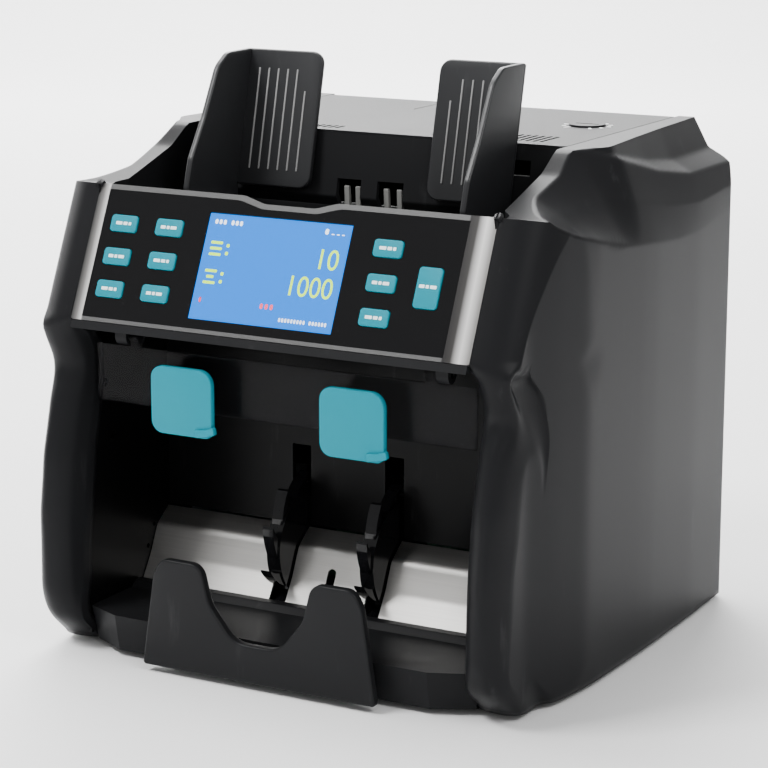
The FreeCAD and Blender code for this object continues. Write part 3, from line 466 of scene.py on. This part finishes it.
TOP_X = [(15, 104), (38, 103), (56, 101), (96, 104.5), (112, 114), (150, 110.5), (182, 108), (236, 105)]
FLANK_X = [(15, 122), (38, 126.5), (60, 130.2), (125, 131.4), (180, 130.8), (236, 129)]


def plan_points(z):
    """Fifteen plan points of the shell for every height in z: pillar face, groove, flank and rear corner.

    Below the head they follow the pillar curves; beside the head they follow the leaning panel; the two are
    blended by a smooth step between heights 147 and 159."""
    yi, yf = soft(z, POCKET_EDGE, 5), soft(z, PILLAR_NOSE, 6)
    xe, ye = soft(z, FACE_EDGE_X, 6), soft(z, FACE_EDGE_Y, 7)
    xs, ys = soft(z, SHELL_EDGE_X, 6), soft(z, SHELL_EDGE_Y, 7)
    one = np.ones_like(z)
    low = [(101 * one, yi), (103.5 * one, yf + 0.45 * (yi - yf)), (108 * one, yf + 0.1 * (yi - yf)), (114 * one, yf),
           (119.5 * one, yf + 0.3 * (ye - yf)), (xe, ye), (0.5 * (xe + xs) - 2.2, 0.5 * (ye + ys) + 1.0), (xs, ys)]
    y = (z - PANEL_Z) * math.tan(TILT)
    high = [(102.3, 0), (106, 0.1), (111, 0.9), (116, 3.2), (120.5, 7), (124, 12), (126.8, 18.5), (128.6, 27)]
    side = [(x * one, d * one) for x, d in SIDE]
    low = np.array(low + side)
    high = np.array([(x * one, y + d) for x, d in high] + side)
    w = np.clip((z - 147) / 12, 0, 1)
    w = w * w * (3 - 2 * w)
    return low + (high - low) * w


def along(points, t):
    """Catmull-Rom curve through the first axis of points, read at the parameters t."""
    padded = np.concatenate([2 * points[:1] - points[1:2], points, 2 * points[-1:] - points[-2:-1]])
    i = np.clip(np.floor(t).astype(int), 0, len(points) - 2)
    f = (t - i).reshape((-1,) + (1,) * (points.ndim - 1))
    a, b, c, d = padded[i], padded[i + 1], padded[i + 2], padded[i + 3]
    return 0.5 * (2 * b + (c - a) * f + (2 * a - 5 * b + 4 * c - d) * f ** 2 + (3 * b - a - 3 * c + d) * f ** 3)


def shoulder_x(y, z):
    """Half width allowed above the crease: leans in to the ridge, then a hollow rises to the flat top's edge."""
    crease, ridge_x, ridge_z = soft(y, CREASE, 6), soft(y, RIDGE_X, 4), soft(y, RIDGE_Z, 4)
    top_x, flank = soft(y, TOP_X, 4), soft(y, FLANK_X, 8)
    lean = 0.5 * (flank + ridge_x) + 1.4
    middle = 0.5 * (crease + ridge_z)
    dip_x = ridge_x + 0.62 * (top_x - ridge_x)
    dip_z = ridge_z + 0.30 * np.maximum(TOP_Z - ridge_z, 0.5)
    high = np.maximum(TOP_Z + 0.5, dip_z + 0.3)

    def rise(lo, hi):
        return np.clip((z - lo) / np.maximum(hi - lo, 0.1), 0, 1)
    return (flank + (lean - flank) * rise(crease, middle) + (ridge_x - lean) * rise(middle, ridge_z)
            + (dip_x - ridge_x) * rise(ridge_z, dip_z) + (top_x - dip_x) * rise(dip_z, high))


def shell_surface():
    """Outer skin of the right shell.

    Column t runs along the plan from the pocket edge to the rear; row v runs up the flank, over the top strip
    and down the hopper wall. Flank: plan(t, z) with X limited by the shoulder. Top: straight to the bay edge."""
    t = np.concatenate([np.linspace(0, 7, 64), np.linspace(7, 11, 60)[1:], np.linspace(11, 14, 34)[1:]])
    columns = len(t)
    top = np.full(columns, 225.0)
    for _ in range(12):
        y = np.diagonal(along(plan_points(top)[:, 1, :], t))
        top = 0.5 * (top + soft(y, WALL_TOP, 2.5))
    v = np.concatenate([np.linspace(0, 0.1, 10), np.linspace(0.1, 0.72, 60)[1:], np.linspace(0.72, 1, 70)[1:]])
    z = v[:, None] * top[None]
    flat = plan_points(z.ravel()).reshape(15, 2, len(v), columns)
    picked = np.diagonal(along(flat, t), axis1=0, axis2=3).transpose(1, 2, 0)
    deep = np.maximum(picked[..., 1], BASE_FRONT_Y)
    x = np.minimum(picked[..., 0], shoulder_x(deep, z))
    flank = np.stack([x, deep, z], -1)
    edge_x, edge_y, edge_z = flank[-1].T
    bay = np.minimum(np.interp(edge_y, [38, 42], [101.7, 97.2]), edge_x - 0.05)
    s = np.linspace(0, 1, 7)[1:, None]
    strip = np.stack([edge_x + (bay - edge_x) * s, edge_y + 0 * s, edge_z + 0 * s], -1)
    d = np.linspace(0, 1, 5)[1:, None]
    wall = np.stack([bay + 0 * d, edge_y + 0 * d, edge_z + (192.0 - edge_z) * d], -1)
    surface = np.concatenate([flank, strip, wall])
    mouth = np.repeat(surface[:, :1], 3, axis=1)
    mouth[:, :, 1] += np.array([7.0, 4.5, 2.0]) * np.clip((168 - mouth[:, :, 2]) / 12, 0, 1)
    mouth[:, :, 0] -= np.array([0.1, 0.05, 0.02])
    surface = np.concatenate([mouth, surface], axis=1)
    rows, columns = surface.shape[:2]
    return surface.reshape(-1, 3), grid_faces(rows, columns)


class COUNTER_OT_shells(Operator):
    """Make both moulded side shells"""
    bl_idname = "counter.shells"
    bl_label = "Side shells"

    def execute(self, context):
        sizes, shades = context.scene.counter_sizes, context.scene.counter_colours
        material = moulded_plastic("shell_plastic", shades.shell, 0.33, gloss=0.055)
        points, faces = shell_surface()
        for side, (pts, quads) in (("right", (points, faces)), ("left", mirrored(points, faces))):
            piece = make_piece(side + "_shell_skin", pts, quads, material, "chassis", "body_black", 50.0)
            wall = piece.modifiers.new("skin", "SOLIDIFY")
            wall.thickness = sizes.skin
            wall.offset = -1.0
            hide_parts(side + "_side_shell")
        return {"FINISHED"}


# ---------------------------------------------------------------- note guides
GUIDE_CHEEK = [(51, 206, 1), (51, 212, 6), (55, 225, 8), (67, 243.5, 20), (79, 265.7, 12), (88, 271.4, 8),
               (109.2, 271.6, 1), (94.9, 209.0, 1), (94.6, 202, 2), (91.0, 191.2, 2)]


def guide_surface(wall, edge):
    """Right guide: an upright cheek with rounded rim and a leaning rear wall folded from it."""
    x1 = GUIDE_X + wall / 2
    cheek, cheek_faces = rounded_plate(rounded(GUIDE_CHEEK), x1 - wall, x1, edge)
    back = rounded([(31, 0.2, 6), (x1, 0.2, 1), (x1, 65.0, 1), (31, 65.0, 6)])
    rear, rear_faces = rounded_plate(back, -wall, 0.0, edge)
    rear = on_guide(rear)
    arm = rounded([(51, 98.5, 1), (57, 98.5, 1), (57, 121.4, 0.5), (51, 121.4, 0.5)])
    arm_points, arm_faces = rounded_plate(arm, 223.1, 226.7, 0.4)
    return join([(facing_right(cheek), cheek_faces), (rear, rear_faces), (arm_points, arm_faces)])


def guide_ribs():
    """Six slim ribs up the guide's rear wall, the inner one shorter."""
    parts = []
    for i in range(6):
        x = 64.6 - 5.2 * i
        top = 56.0 if i < 5 else 46.0
        ring = rounded([(x - 0.42, 8, 0.35), (x + 0.42, 8, 0.35), (x + 0.42, top, 0.35), (x - 0.42, top, 0.35)], 5)
        pts, faces = rounded_plate(ring, -0.3, 0.42, 0.2, 2)
        parts.append((on_guide(pts), faces))
    return join(parts)


def guide_rack(side):
    """Toothed bar that meets the guide gear: a bar with block teeth every 2.1 mm."""
    y0, y1, tooth0, tooth1 = (118.2, 121.4, 117.6, 118.5) if side > 0 else (106.7, 109.8, 109.5, 110.4)
    bar = rounded([(-21, y0, 0.4), (56, y0, 0.4), (56, y1, 0.4), (-21, y1, 0.4)], 3)
    parts = [rounded_plate(bar, 223.2, 226.6, 0.3, 2)]
    tooth = rounded([(-0.5, tooth0, 0.1), (0.5, tooth0, 0.1), (0.5, tooth1, 0.1), (-0.5, tooth1, 0.1)], 2)
    for i in range(28):
        parts.append(rounded_plate(tooth + (-20.0 + 2.1 * i, 0.0), 223.2, 226.6, 0.15, 1))
    points, faces = join(parts)
    return (points, faces) if side > 0 else mirrored(points, faces)


class COUNTER_OT_guides(Operator):
    """Make both sliding note guides and their ribs"""
    bl_idname = "counter.guides"
    bl_label = "Note guides"

    def execute(self, context):
        sizes, shades = context.scene.counter_sizes, context.scene.counter_colours
        plastic = moulded_plastic("guide_plastic", shades.guide, 0.34, 0.3, gloss=0.34)
        # painted highlight: the ribs are the guide's black moulding, coloured pale grey to stand in for the light on
        # their ridges
        pale = moulded_plastic("guide_rib_painted_highlight", (0.22, 0.22, 0.22), 0.5, 0.2)
        right = guide_surface(sizes.guide_wall * MM, sizes.guide_edge * MM)
        ribs = guide_ribs()
        sets = (("right", right, ribs, guide_rack(1)), ("left", mirrored(*right), mirrored(*ribs), guide_rack(-1)))
        for side, plate, lines, rack in sets:
            piece = make_piece(side + "_note_guide", *plate, plastic, side + "_guide", "guide_black")
            make_piece(side + "_guide_ribs", *lines, pale, side + "_guide", "guide_black")
            make_piece(side + "_guide_rack", *rack, plastic, side + "_guide", "guide_black")
            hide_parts("guide_" + side)
        return {"FINISHED"}


# ---------------------------------------------------------------- pocket pieces
class COUNTER_OT_stop(Operator):
    """Make the notched note stop at the front of the pocket"""
    bl_idname = "counter.stop"
    bl_label = "Note stop"

    def execute(self, context):
        sizes, shades = context.scene.counter_sizes, context.scene.counter_colours
        half = [(61, 0.3, 1.5), (54.5, 44, 14), (50.5, 52, 7), (29, 52, 7), (24.5, 34, 16), (12, 18.2, 14)]
        ring = rounded(half + [(-a, b, r) for a, b, r in reversed(half)], 12)
        points, faces = rounded_plate(ring, 3.4, 8.0, sizes.stop_edge * MM, 5)
        foot = rounded([(-51, 2, 2), (51, 2, 2), (51, 15, 2), (-51, 15, 2)])
        block, block_faces = rounded_plate(foot, -0.5, 3.8, 0.5)
        points, faces = join([(points, faces), (block, block_faces)])
        material = moulded_plastic("note_stop_plastic", shades.shell, 0.36, gloss=0.1)
        piece = make_piece("note_stop", facing_front(points), faces, material, "chassis", "body_black")
        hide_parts("stopper_plate")
        return {"FINISHED"}


class COUNTER_OT_tabs(Operator):
    """Make the two teal finger tabs"""
    bl_idname = "counter.tabs"
    bl_label = "Finger tabs"

    def execute(self, context):
        sizes, shades = context.scene.counter_sizes, context.scene.counter_colours
        edge = sizes.tab_edge * MM
        face = rounded([(28.0, 108, 6), (60.4, 108, 4), (60.4, 139.2, 7), (28.0, 139.2, 6)], 12)
        hook = rounded([(52, 108, 1.2), (62.4, 110.4, 0.8), (61.8, 114.2, 1.0), (57.5, 112.4, 1.5), (52, 112, 1)], 6)
        tab = join([rounded_plate(face, -4.8, -1.7, edge), rounded_plate(hook, -3.2, -0.5, 0.4)])
        other = tab[0] - (88.0, 0, 0)
        points, faces = join([tab, (other, tab[1])])
        material = polished_plastic("tab_plastic", shades.teal, 0.45, gloss=0.1)
        piece = make_piece("finger_tabs", facing_front(points), faces, material, "shield", "key_teal")
        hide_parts("shield_tabs")
        return {"FINISHED"}


# ---------------------------------------------------------------- control panel
KEYS = [("key_error", -84.3, 18.1), ("key_range", -84.3, 33.7), ("key_batch", -84.3, 49.0),
        ("key_add", -59.8, 18.1), ("key_print", -59.8, 33.7), ("key_report", -59.8, 49.0),
        ("key_menu", 53.0, 18.0), ("key_mode", 53.0, 33.5), ("key_currency", 53.0, 48.9), ("key_reset", 75.9, 33.5)]


def block_outline(x, up, wide, tall, r):
    """Rounded rectangle outline about (x, up)."""
    return rounded([(x - wide / 2, up - tall / 2, r), (x + wide / 2, up - tall / 2, r),
                    (x + wide / 2, up + tall / 2, r), (x - wide / 2, up + tall / 2, r)])


class COUNTER_OT_keys(Operator):
    """Make the key caps with a soft rim and short generic marks"""
    bl_idname = "counter.keys"
    bl_label = "Key caps"

    def execute(self, context):
        sizes, shades = context.scene.counter_sizes, context.scene.counter_colours
        material = polished_plastic("key_plastic", shades.teal, 0.4, 0.1, 0.12)
        # painted glow: the printed key marks get a faint emission so that they stay bright
        white = lit_mark("key_mark_painted_glow", (0.85, 0.95, 0.95), 0.15)
        for number, (name, x, s) in enumerate(KEYS):
            wide, tall = (11.5, 18.3) if name == "key_reset" else (14.3, 7.9)
            up = PANEL_L - s
            cap = rounded_plate(block_outline(x, up, wide, tall, 1.6), -3.5, 0.8, sizes.key_edge * MM)
            flange = rounded_plate(block_outline(x, up, wide + 1.8, tall + 1.8, 1.5), -4.35, -3.4, 0.15)
            points, faces = join([cap, flange])
            piece = make_piece(name + "_cap_face", on_panel(points), faces, material, name + "_cap", "key_teal")
            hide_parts(name)
            marks = []
            spans = [2.6, 1.5, 3.1] if number % 2 else [3.4, 2.2, 1.4]
            left = x - (sum(spans) + 1.2) / 2
            for span in spans:
                ring = block_outline(left + span / 2, up + (0.5 if name == "key_reset" else 0.0), span, 1.5, 0.3)
                marks.append(rounded_plate(ring, 0.7, 0.8 + sizes.mark * MM, 0.03, 1))
                left += span + 0.6
            points, faces = join(marks)
            make_piece(name + "_mark", on_panel(points), faces, white, name + "_cap", "key_teal")
        return {"FINISHED"}


def text_points(words, size, x, up, level):
    """Digits as a flat mesh on the panel, right edge at x, base line at up."""
    curve = bpy.data.curves.new("digits", "FONT")
    curve.body = words
    curve.size = size
    curve.align_x = "RIGHT"
    curve.extrude = 0.03
    holder = bpy.data.objects.new("digits", curve)
    bpy.context.scene.collection.objects.link(holder)
    mesh = bpy.data.meshes.new_from_object(holder.evaluated_get(bpy.context.evaluated_depsgraph_get()))
    flat = np.empty(len(mesh.vertices) * 3)
    mesh.vertices.foreach_get("co", flat)
    flat = flat.reshape(-1, 3)
    faces = [list(p.vertices) for p in mesh.polygons]
    bpy.data.objects.remove(holder)
    bpy.data.curves.remove(curve)
    bpy.data.meshes.remove(mesh)
    return flat * (0.92, 1.0, 1.0) + (x, up, level), faces


def bars(rows, level):
    """Short rounded dashes: rows of (x, up, wide, tall)."""
    rings = [block_outline(x, up, wide, tall, 0.3 * tall) for x, up, wide, tall in rows]
    return join([rounded_plate(ring, level - 0.05, level + 0.05, 0.02, 1) for ring in rings])


class COUNTER_OT_display(Operator):
    """Make the digits and marks shown on the display"""
    bl_idname = "counter.display"
    bl_label = "Display marks"

    def execute(self, context):
        shades = context.scene.counter_colours
        level = -0.42
        lime = lit_mark("display_lime", shades.digits, 0.95)
        white = lit_mark("display_white", (0.8, 0.9, 1.0), 0.9)
        red = lit_mark("display_red", (0.75, 0.06, 0.12), 0.7)
        figures = [text_points("10", 13.2, 30.0, 34.6, level), text_points("1000", 13.2, 30.0, 21.6, level)]
        labels = bars([(-33.5, 42.0, 6.2, 1.3), (-33.5, 39.3, 6.2, 1.3), (-33.5, 36.6, 6.2, 1.3),
                       (-27.5, 41, 1.6, 1.6), (-27.5, 37.4, 1.6, 1.6), (-33.5, 29.0, 6.2, 1.3),
                       (-33.5, 26.3, 3.8, 1.3), (-33.5, 23.6, 6.2, 1.3), (-27.5, 28, 1.6, 1.6),
                       (-27.5, 24.4, 1.6, 1.6)], level)
        points, faces = join(figures + [labels])
        make_piece("display_figures", on_panel(points), faces, lime, "chassis", "display_blue")
        runs = ((3, -36.0, 2.2, 51.6, 1.5, 2.2), (3, -27.5, 2.2, 51.6, 1.5, 2.2), (1, 21.0, 0.0, 51.6, 1.8, 2.6),
                (3, 24.2, 2.6, 50.6, 1.4, 0.5), (9, 6.5, 1.55, 10.2, 1.0, 1.9), (6, 22.0, 1.55, 10.2, 1.0, 1.9))
        small = [(x + pitch * i, up, wide, tall) for count, x, pitch, up, wide, tall in runs for i in range(count)]
        points, faces = bars(small, level)
        make_piece("display_small_marks", on_panel(points), faces, white, "chassis", "display_blue")
        points, faces = bars([(-36.0, 15.4, 1.2, 2.6), (-4.0, 15.4, 1.6, 2.6), (-1.4, 15.4, 1.6, 2.6),
                              (1.2, 15.4, 1.6, 2.6)], level)
        make_piece("display_red_marks", on_panel(points), faces, red, "chassis", "display_blue")
        return {"FINISHED"}


# ---------------------------------------------------------------- top cover details
class COUNTER_OT_dial_marks(Operator):
    """Make the radial marks round the thickness dial"""
    bl_idname = "counter.dial_marks"
    bl_label = "Dial marks"

    def execute(self, context):
        sizes = context.scene.counter_sizes
        parts = []
        for i in range(11):
            angle = math.radians(-60 + 30 * i)
            tall = 3.4 if i % 5 == 0 else 2.2
            ring = rounded([(10.0, -0.6, 0.3), (10.0 + tall, -0.8, 0.3), (10.0 + tall, 0.8, 0.3),
                            (10.0, 0.6, 0.3)], 3)
            turn = np.array([[math.cos(angle), math.sin(angle)], [-math.sin(angle), math.cos(angle)]])
            parts.append(rounded_plate(ring @ turn + (KNOB_X, KNOB_Y), TOP_Z - 0.1, TOP_Z + sizes.mark * MM, 0.04, 1))
        points, faces = join(parts)
        # painted glow: the printed dial marks get a faint emission so that they stay bright
        white = lit_mark("dial_white_painted_glow", (0.85, 0.85, 0.85), 0.15)
        make_piece("dial_marks", points, faces, white, "cover", "body_black")
        return {"FINISHED"}


# ---------------------------------------------------------------- finishes of the frame nodes
class COUNTER_OT_finishes(Operator):
    """Give every remaining frame node its detailed finish"""
    bl_idname = "counter.finishes"
    bl_label = "Finishes"

    def execute(self, context):
        shades = context.scene.counter_colours
        # painted shade: the pocket walls take the inner black at 0.4 so that the deep pocket reads darker
        faint = rgba(shades.inner, 0.4)[:3]
        table = {
            moulded_plastic("base_plastic", shades.shell, 0.42, gloss=0.08):
                ("base_tray", "head_housing"),
            moulded_plastic("cover_plastic", shades.shell, 0.42, gloss=0.09):
                ("top_cover", "rear_cover", "service_hatch", "thickness_knob"),
            moulded_plastic("hopper_plastic", shades.inner, 0.38):
                ("hopper_tray", "note_chute", "switch_frame", "power_switch", "power_inlet"),
            # painted shade: pocket back and inner walls in the darkened black
            moulded_plastic("pocket_painted_shade_plastic", faint, 0.30, 0.25, gloss=0.08):
                ("pocket_back", "left_inner_wall", "right_inner_wall"),
            # painted reflection on the panel strips of the bezel
            strip_with_painted_reflection("panel_frame_painted_reflection", shades.strip): ("panel_bezel",),
            polished_plastic("overlay_gloss", shades.gloss, 0.07): ("panel_overlay",),
            lit_screen("display_light", shades.screen): ("display_window",),
            brushed_steel("plate_steel", shades.steel, (1.0, 120.0, 120.0), 0.30): ("stacker_plate",),
            brushed_steel("shaft_steel", (0.5, 0.5, 0.5), (1.0, 300.0, 300.0), 0.2):
                ("pickup_shaft", "feed_shaft", "stacker_shaft", "lcd_module", "io_ports"),
            brushed_steel("zinc_plated", (0.42, 0.43, 0.45), (60.0, 60.0, 60.0), 0.34):
                ("frame_plate_right", "frame_plate_left", "motor", "screws"),
            rubber("rubber_black"): ("pickup_tyres", "feed_tyres", "feed_belt", "stacker_belt", "rubber_feet"),
            polished_plastic("wheel_gloss", (0.006, 0.006, 0.007), 0.12): ("impeller_left", "impeller_right"),
            circuit_board("circuit_board"): ("keypad_board", "main_board", "power_supply"),
            moulded_plastic("finger_plastic", (0.24, 0.24, 0.23), 0.42):
                ("note_fingers", "guide_pinion", "feed_pulley", "stacker_pulley", "motor_pulley"),
            smoked_pane("smoked_pane"): ("stacker_shield",),
        }
        for material, names in table.items():
            for name in names:
                node = frame["nodes"][name]
                if not node.material_slots:
                    raise RuntimeError(name + " has no material slot")
                for place in node.material_slots:
                    place.link = "OBJECT"
                    place.material = material
        return {"FINISHED"}


# ---------------------------------------------------------------- studio
class COUNTER_OT_stage(Operator):
    """Make the pale floor, the soft lights and the camera"""
    bl_idname = "counter.stage"
    bl_label = "Studio"

    def execute(self, context):
        scene = context.scene
        t = np.linspace(0, 1, 40)
        run = np.where(t < 0.6, -3.0 + t / 0.6 * 5.2, 2.2 + np.sin(np.clip((t - 0.6) / 0.4, 0, 1) * np.pi / 2) * 0.9)
        rise = np.where(t < 0.6, 0.0, (1 - np.cos(np.clip((t - 0.6) / 0.4, 0, 1) * np.pi / 2)) * 3.0)
        turn = math.radians(29.0)
        wide = np.array([-4.0, 4.0])
        x = wide[None, :] * math.cos(turn) - run[:, None] * math.sin(turn)
        y = wide[None, :] * math.sin(turn) + run[:, None] * math.cos(turn)
        points = np.stack([x, y, np.repeat(rise[:, None], 2, 1)], -1).reshape(-1, 3)
        mesh = bpy.data.meshes.new("studio_floor")
        mesh.from_pydata(points.tolist(), [], grid_faces(40, 2, flip=True))
        mesh.shade_smooth()
        f = Finish("studio_floor")
        grain = f.noise(f.place(), 3.0, 2.0)
        shade = context.scene.counter_colours.floor
        tone = f.mix(grain, rgba(shade, 0.985), rgba(shade))
        mesh.materials.append(principled(f, {"Base Color": tone, "Roughness": 0.85}))
        floor = bpy.data.objects.new("studio_floor", mesh)
        scene.collection.objects.link(floor)
        lights = (("top_light", (-0.5, 0.3, 1.5), 1.2, 1.0, 24.0, (0.0, 0.0, 0.12)),
                  ("plate_light", (-0.814, -0.922, 1.68), 0.6, 0.45, 32.0, (0.0, 0.0, 0.1)),
                  ("side_light", (0.95, -0.5, 1.0), 0.6, 0.6, 9.0, (0.7, -0.38, 0.0)),
                  ("left_light", (-1.7, 0.1, 0.9), 0.8, 1.2, 12.0, (0.0, 0.0, 0.12)),
                  ("front_fill", (0.1, -1.9, 0.12), 1.3, 0.3, 2.0, (0.0, 0.0, 0.08)),
                  ("backdrop_light", (-1.3, 1.9, 1.9), 2.0, 1.2, 150.0, (-1.3, 2.0, 0.0)))
        for name, place, wide, tall, power, target in lights:
            lamp = bpy.data.lights.new(name, "AREA")
            lamp.shape = "RECTANGLE"
            lamp.size = wide
            lamp.size_y = tall
            lamp.energy = power
            holder = bpy.data.objects.new(name, lamp)
            holder.location = place
            aim = np.array(target) - np.array(place)
            flat = math.hypot(aim[0], aim[1])
            holder.rotation_euler = (math.atan2(flat, -aim[2]), 0.0, math.atan2(aim[1], aim[0]) - math.pi / 2)
            scene.collection.objects.link(holder)
        sky = bpy.data.worlds.new("studio")
        sky.use_nodes = True
        sky.node_tree.nodes["Background"].inputs["Color"].default_value = (1.0, 1.0, 1.0, 1.0)
        sky.node_tree.nodes["Background"].inputs["Strength"].default_value = 0.6
        scene.world = sky
        lens = bpy.data.cameras.new("camera")
        lens.lens = 121.0
        lens.sensor_width = 36.0
        camera = bpy.data.objects.new("camera", lens)
        camera.location = (0.58338, -1.0493, 0.39418)
        camera.rotation_euler = (math.radians(90 - 12.96), 0.0, math.radians(29.09))
        scene.collection.objects.link(camera)
        scene.camera = camera
        return {"FINISHED"}


class COUNTER_PT_panel(Panel):
    """Lists the counter's pieces"""
    bl_idname = "COUNTER_PT_panel"
    bl_label = "Banknote counter"
    bl_space_type = "VIEW_3D"
    bl_region_type = "UI"
    bl_category = "Counter"

    def draw(self, context):
        for group in (context.scene.counter_sizes, context.scene.counter_colours):
            for name in group.__annotations__:
                self.layout.prop(group, name)
        for operator in OPERATORS:
            self.layout.operator(operator.bl_idname)


OPERATORS = (COUNTER_OT_stage, COUNTER_OT_finishes, COUNTER_OT_shells, COUNTER_OT_guides, COUNTER_OT_stop,
             COUNTER_OT_tabs, COUNTER_OT_keys, COUNTER_OT_display, COUNTER_OT_dial_marks)
CLASSES = (CounterSizes, CounterColours) + OPERATORS + (COUNTER_PT_panel,)


def register():
    for cls in CLASSES:
        bpy.utils.register_class(cls)
    bpy.types.Scene.counter_sizes = PointerProperty(type=CounterSizes)
    bpy.types.Scene.counter_colours = PointerProperty(type=CounterColours)


def unregister():
    del bpy.types.Scene.counter_colours
    del bpy.types.Scene.counter_sizes
    for cls in reversed(CLASSES):
        bpy.utils.unregister_class(cls)


def main():
    register()
    for operator in OPERATORS:
        getattr(bpy.ops.counter, operator.bl_idname.split(".")[1])()


if __name__ == "__main__":
    main()
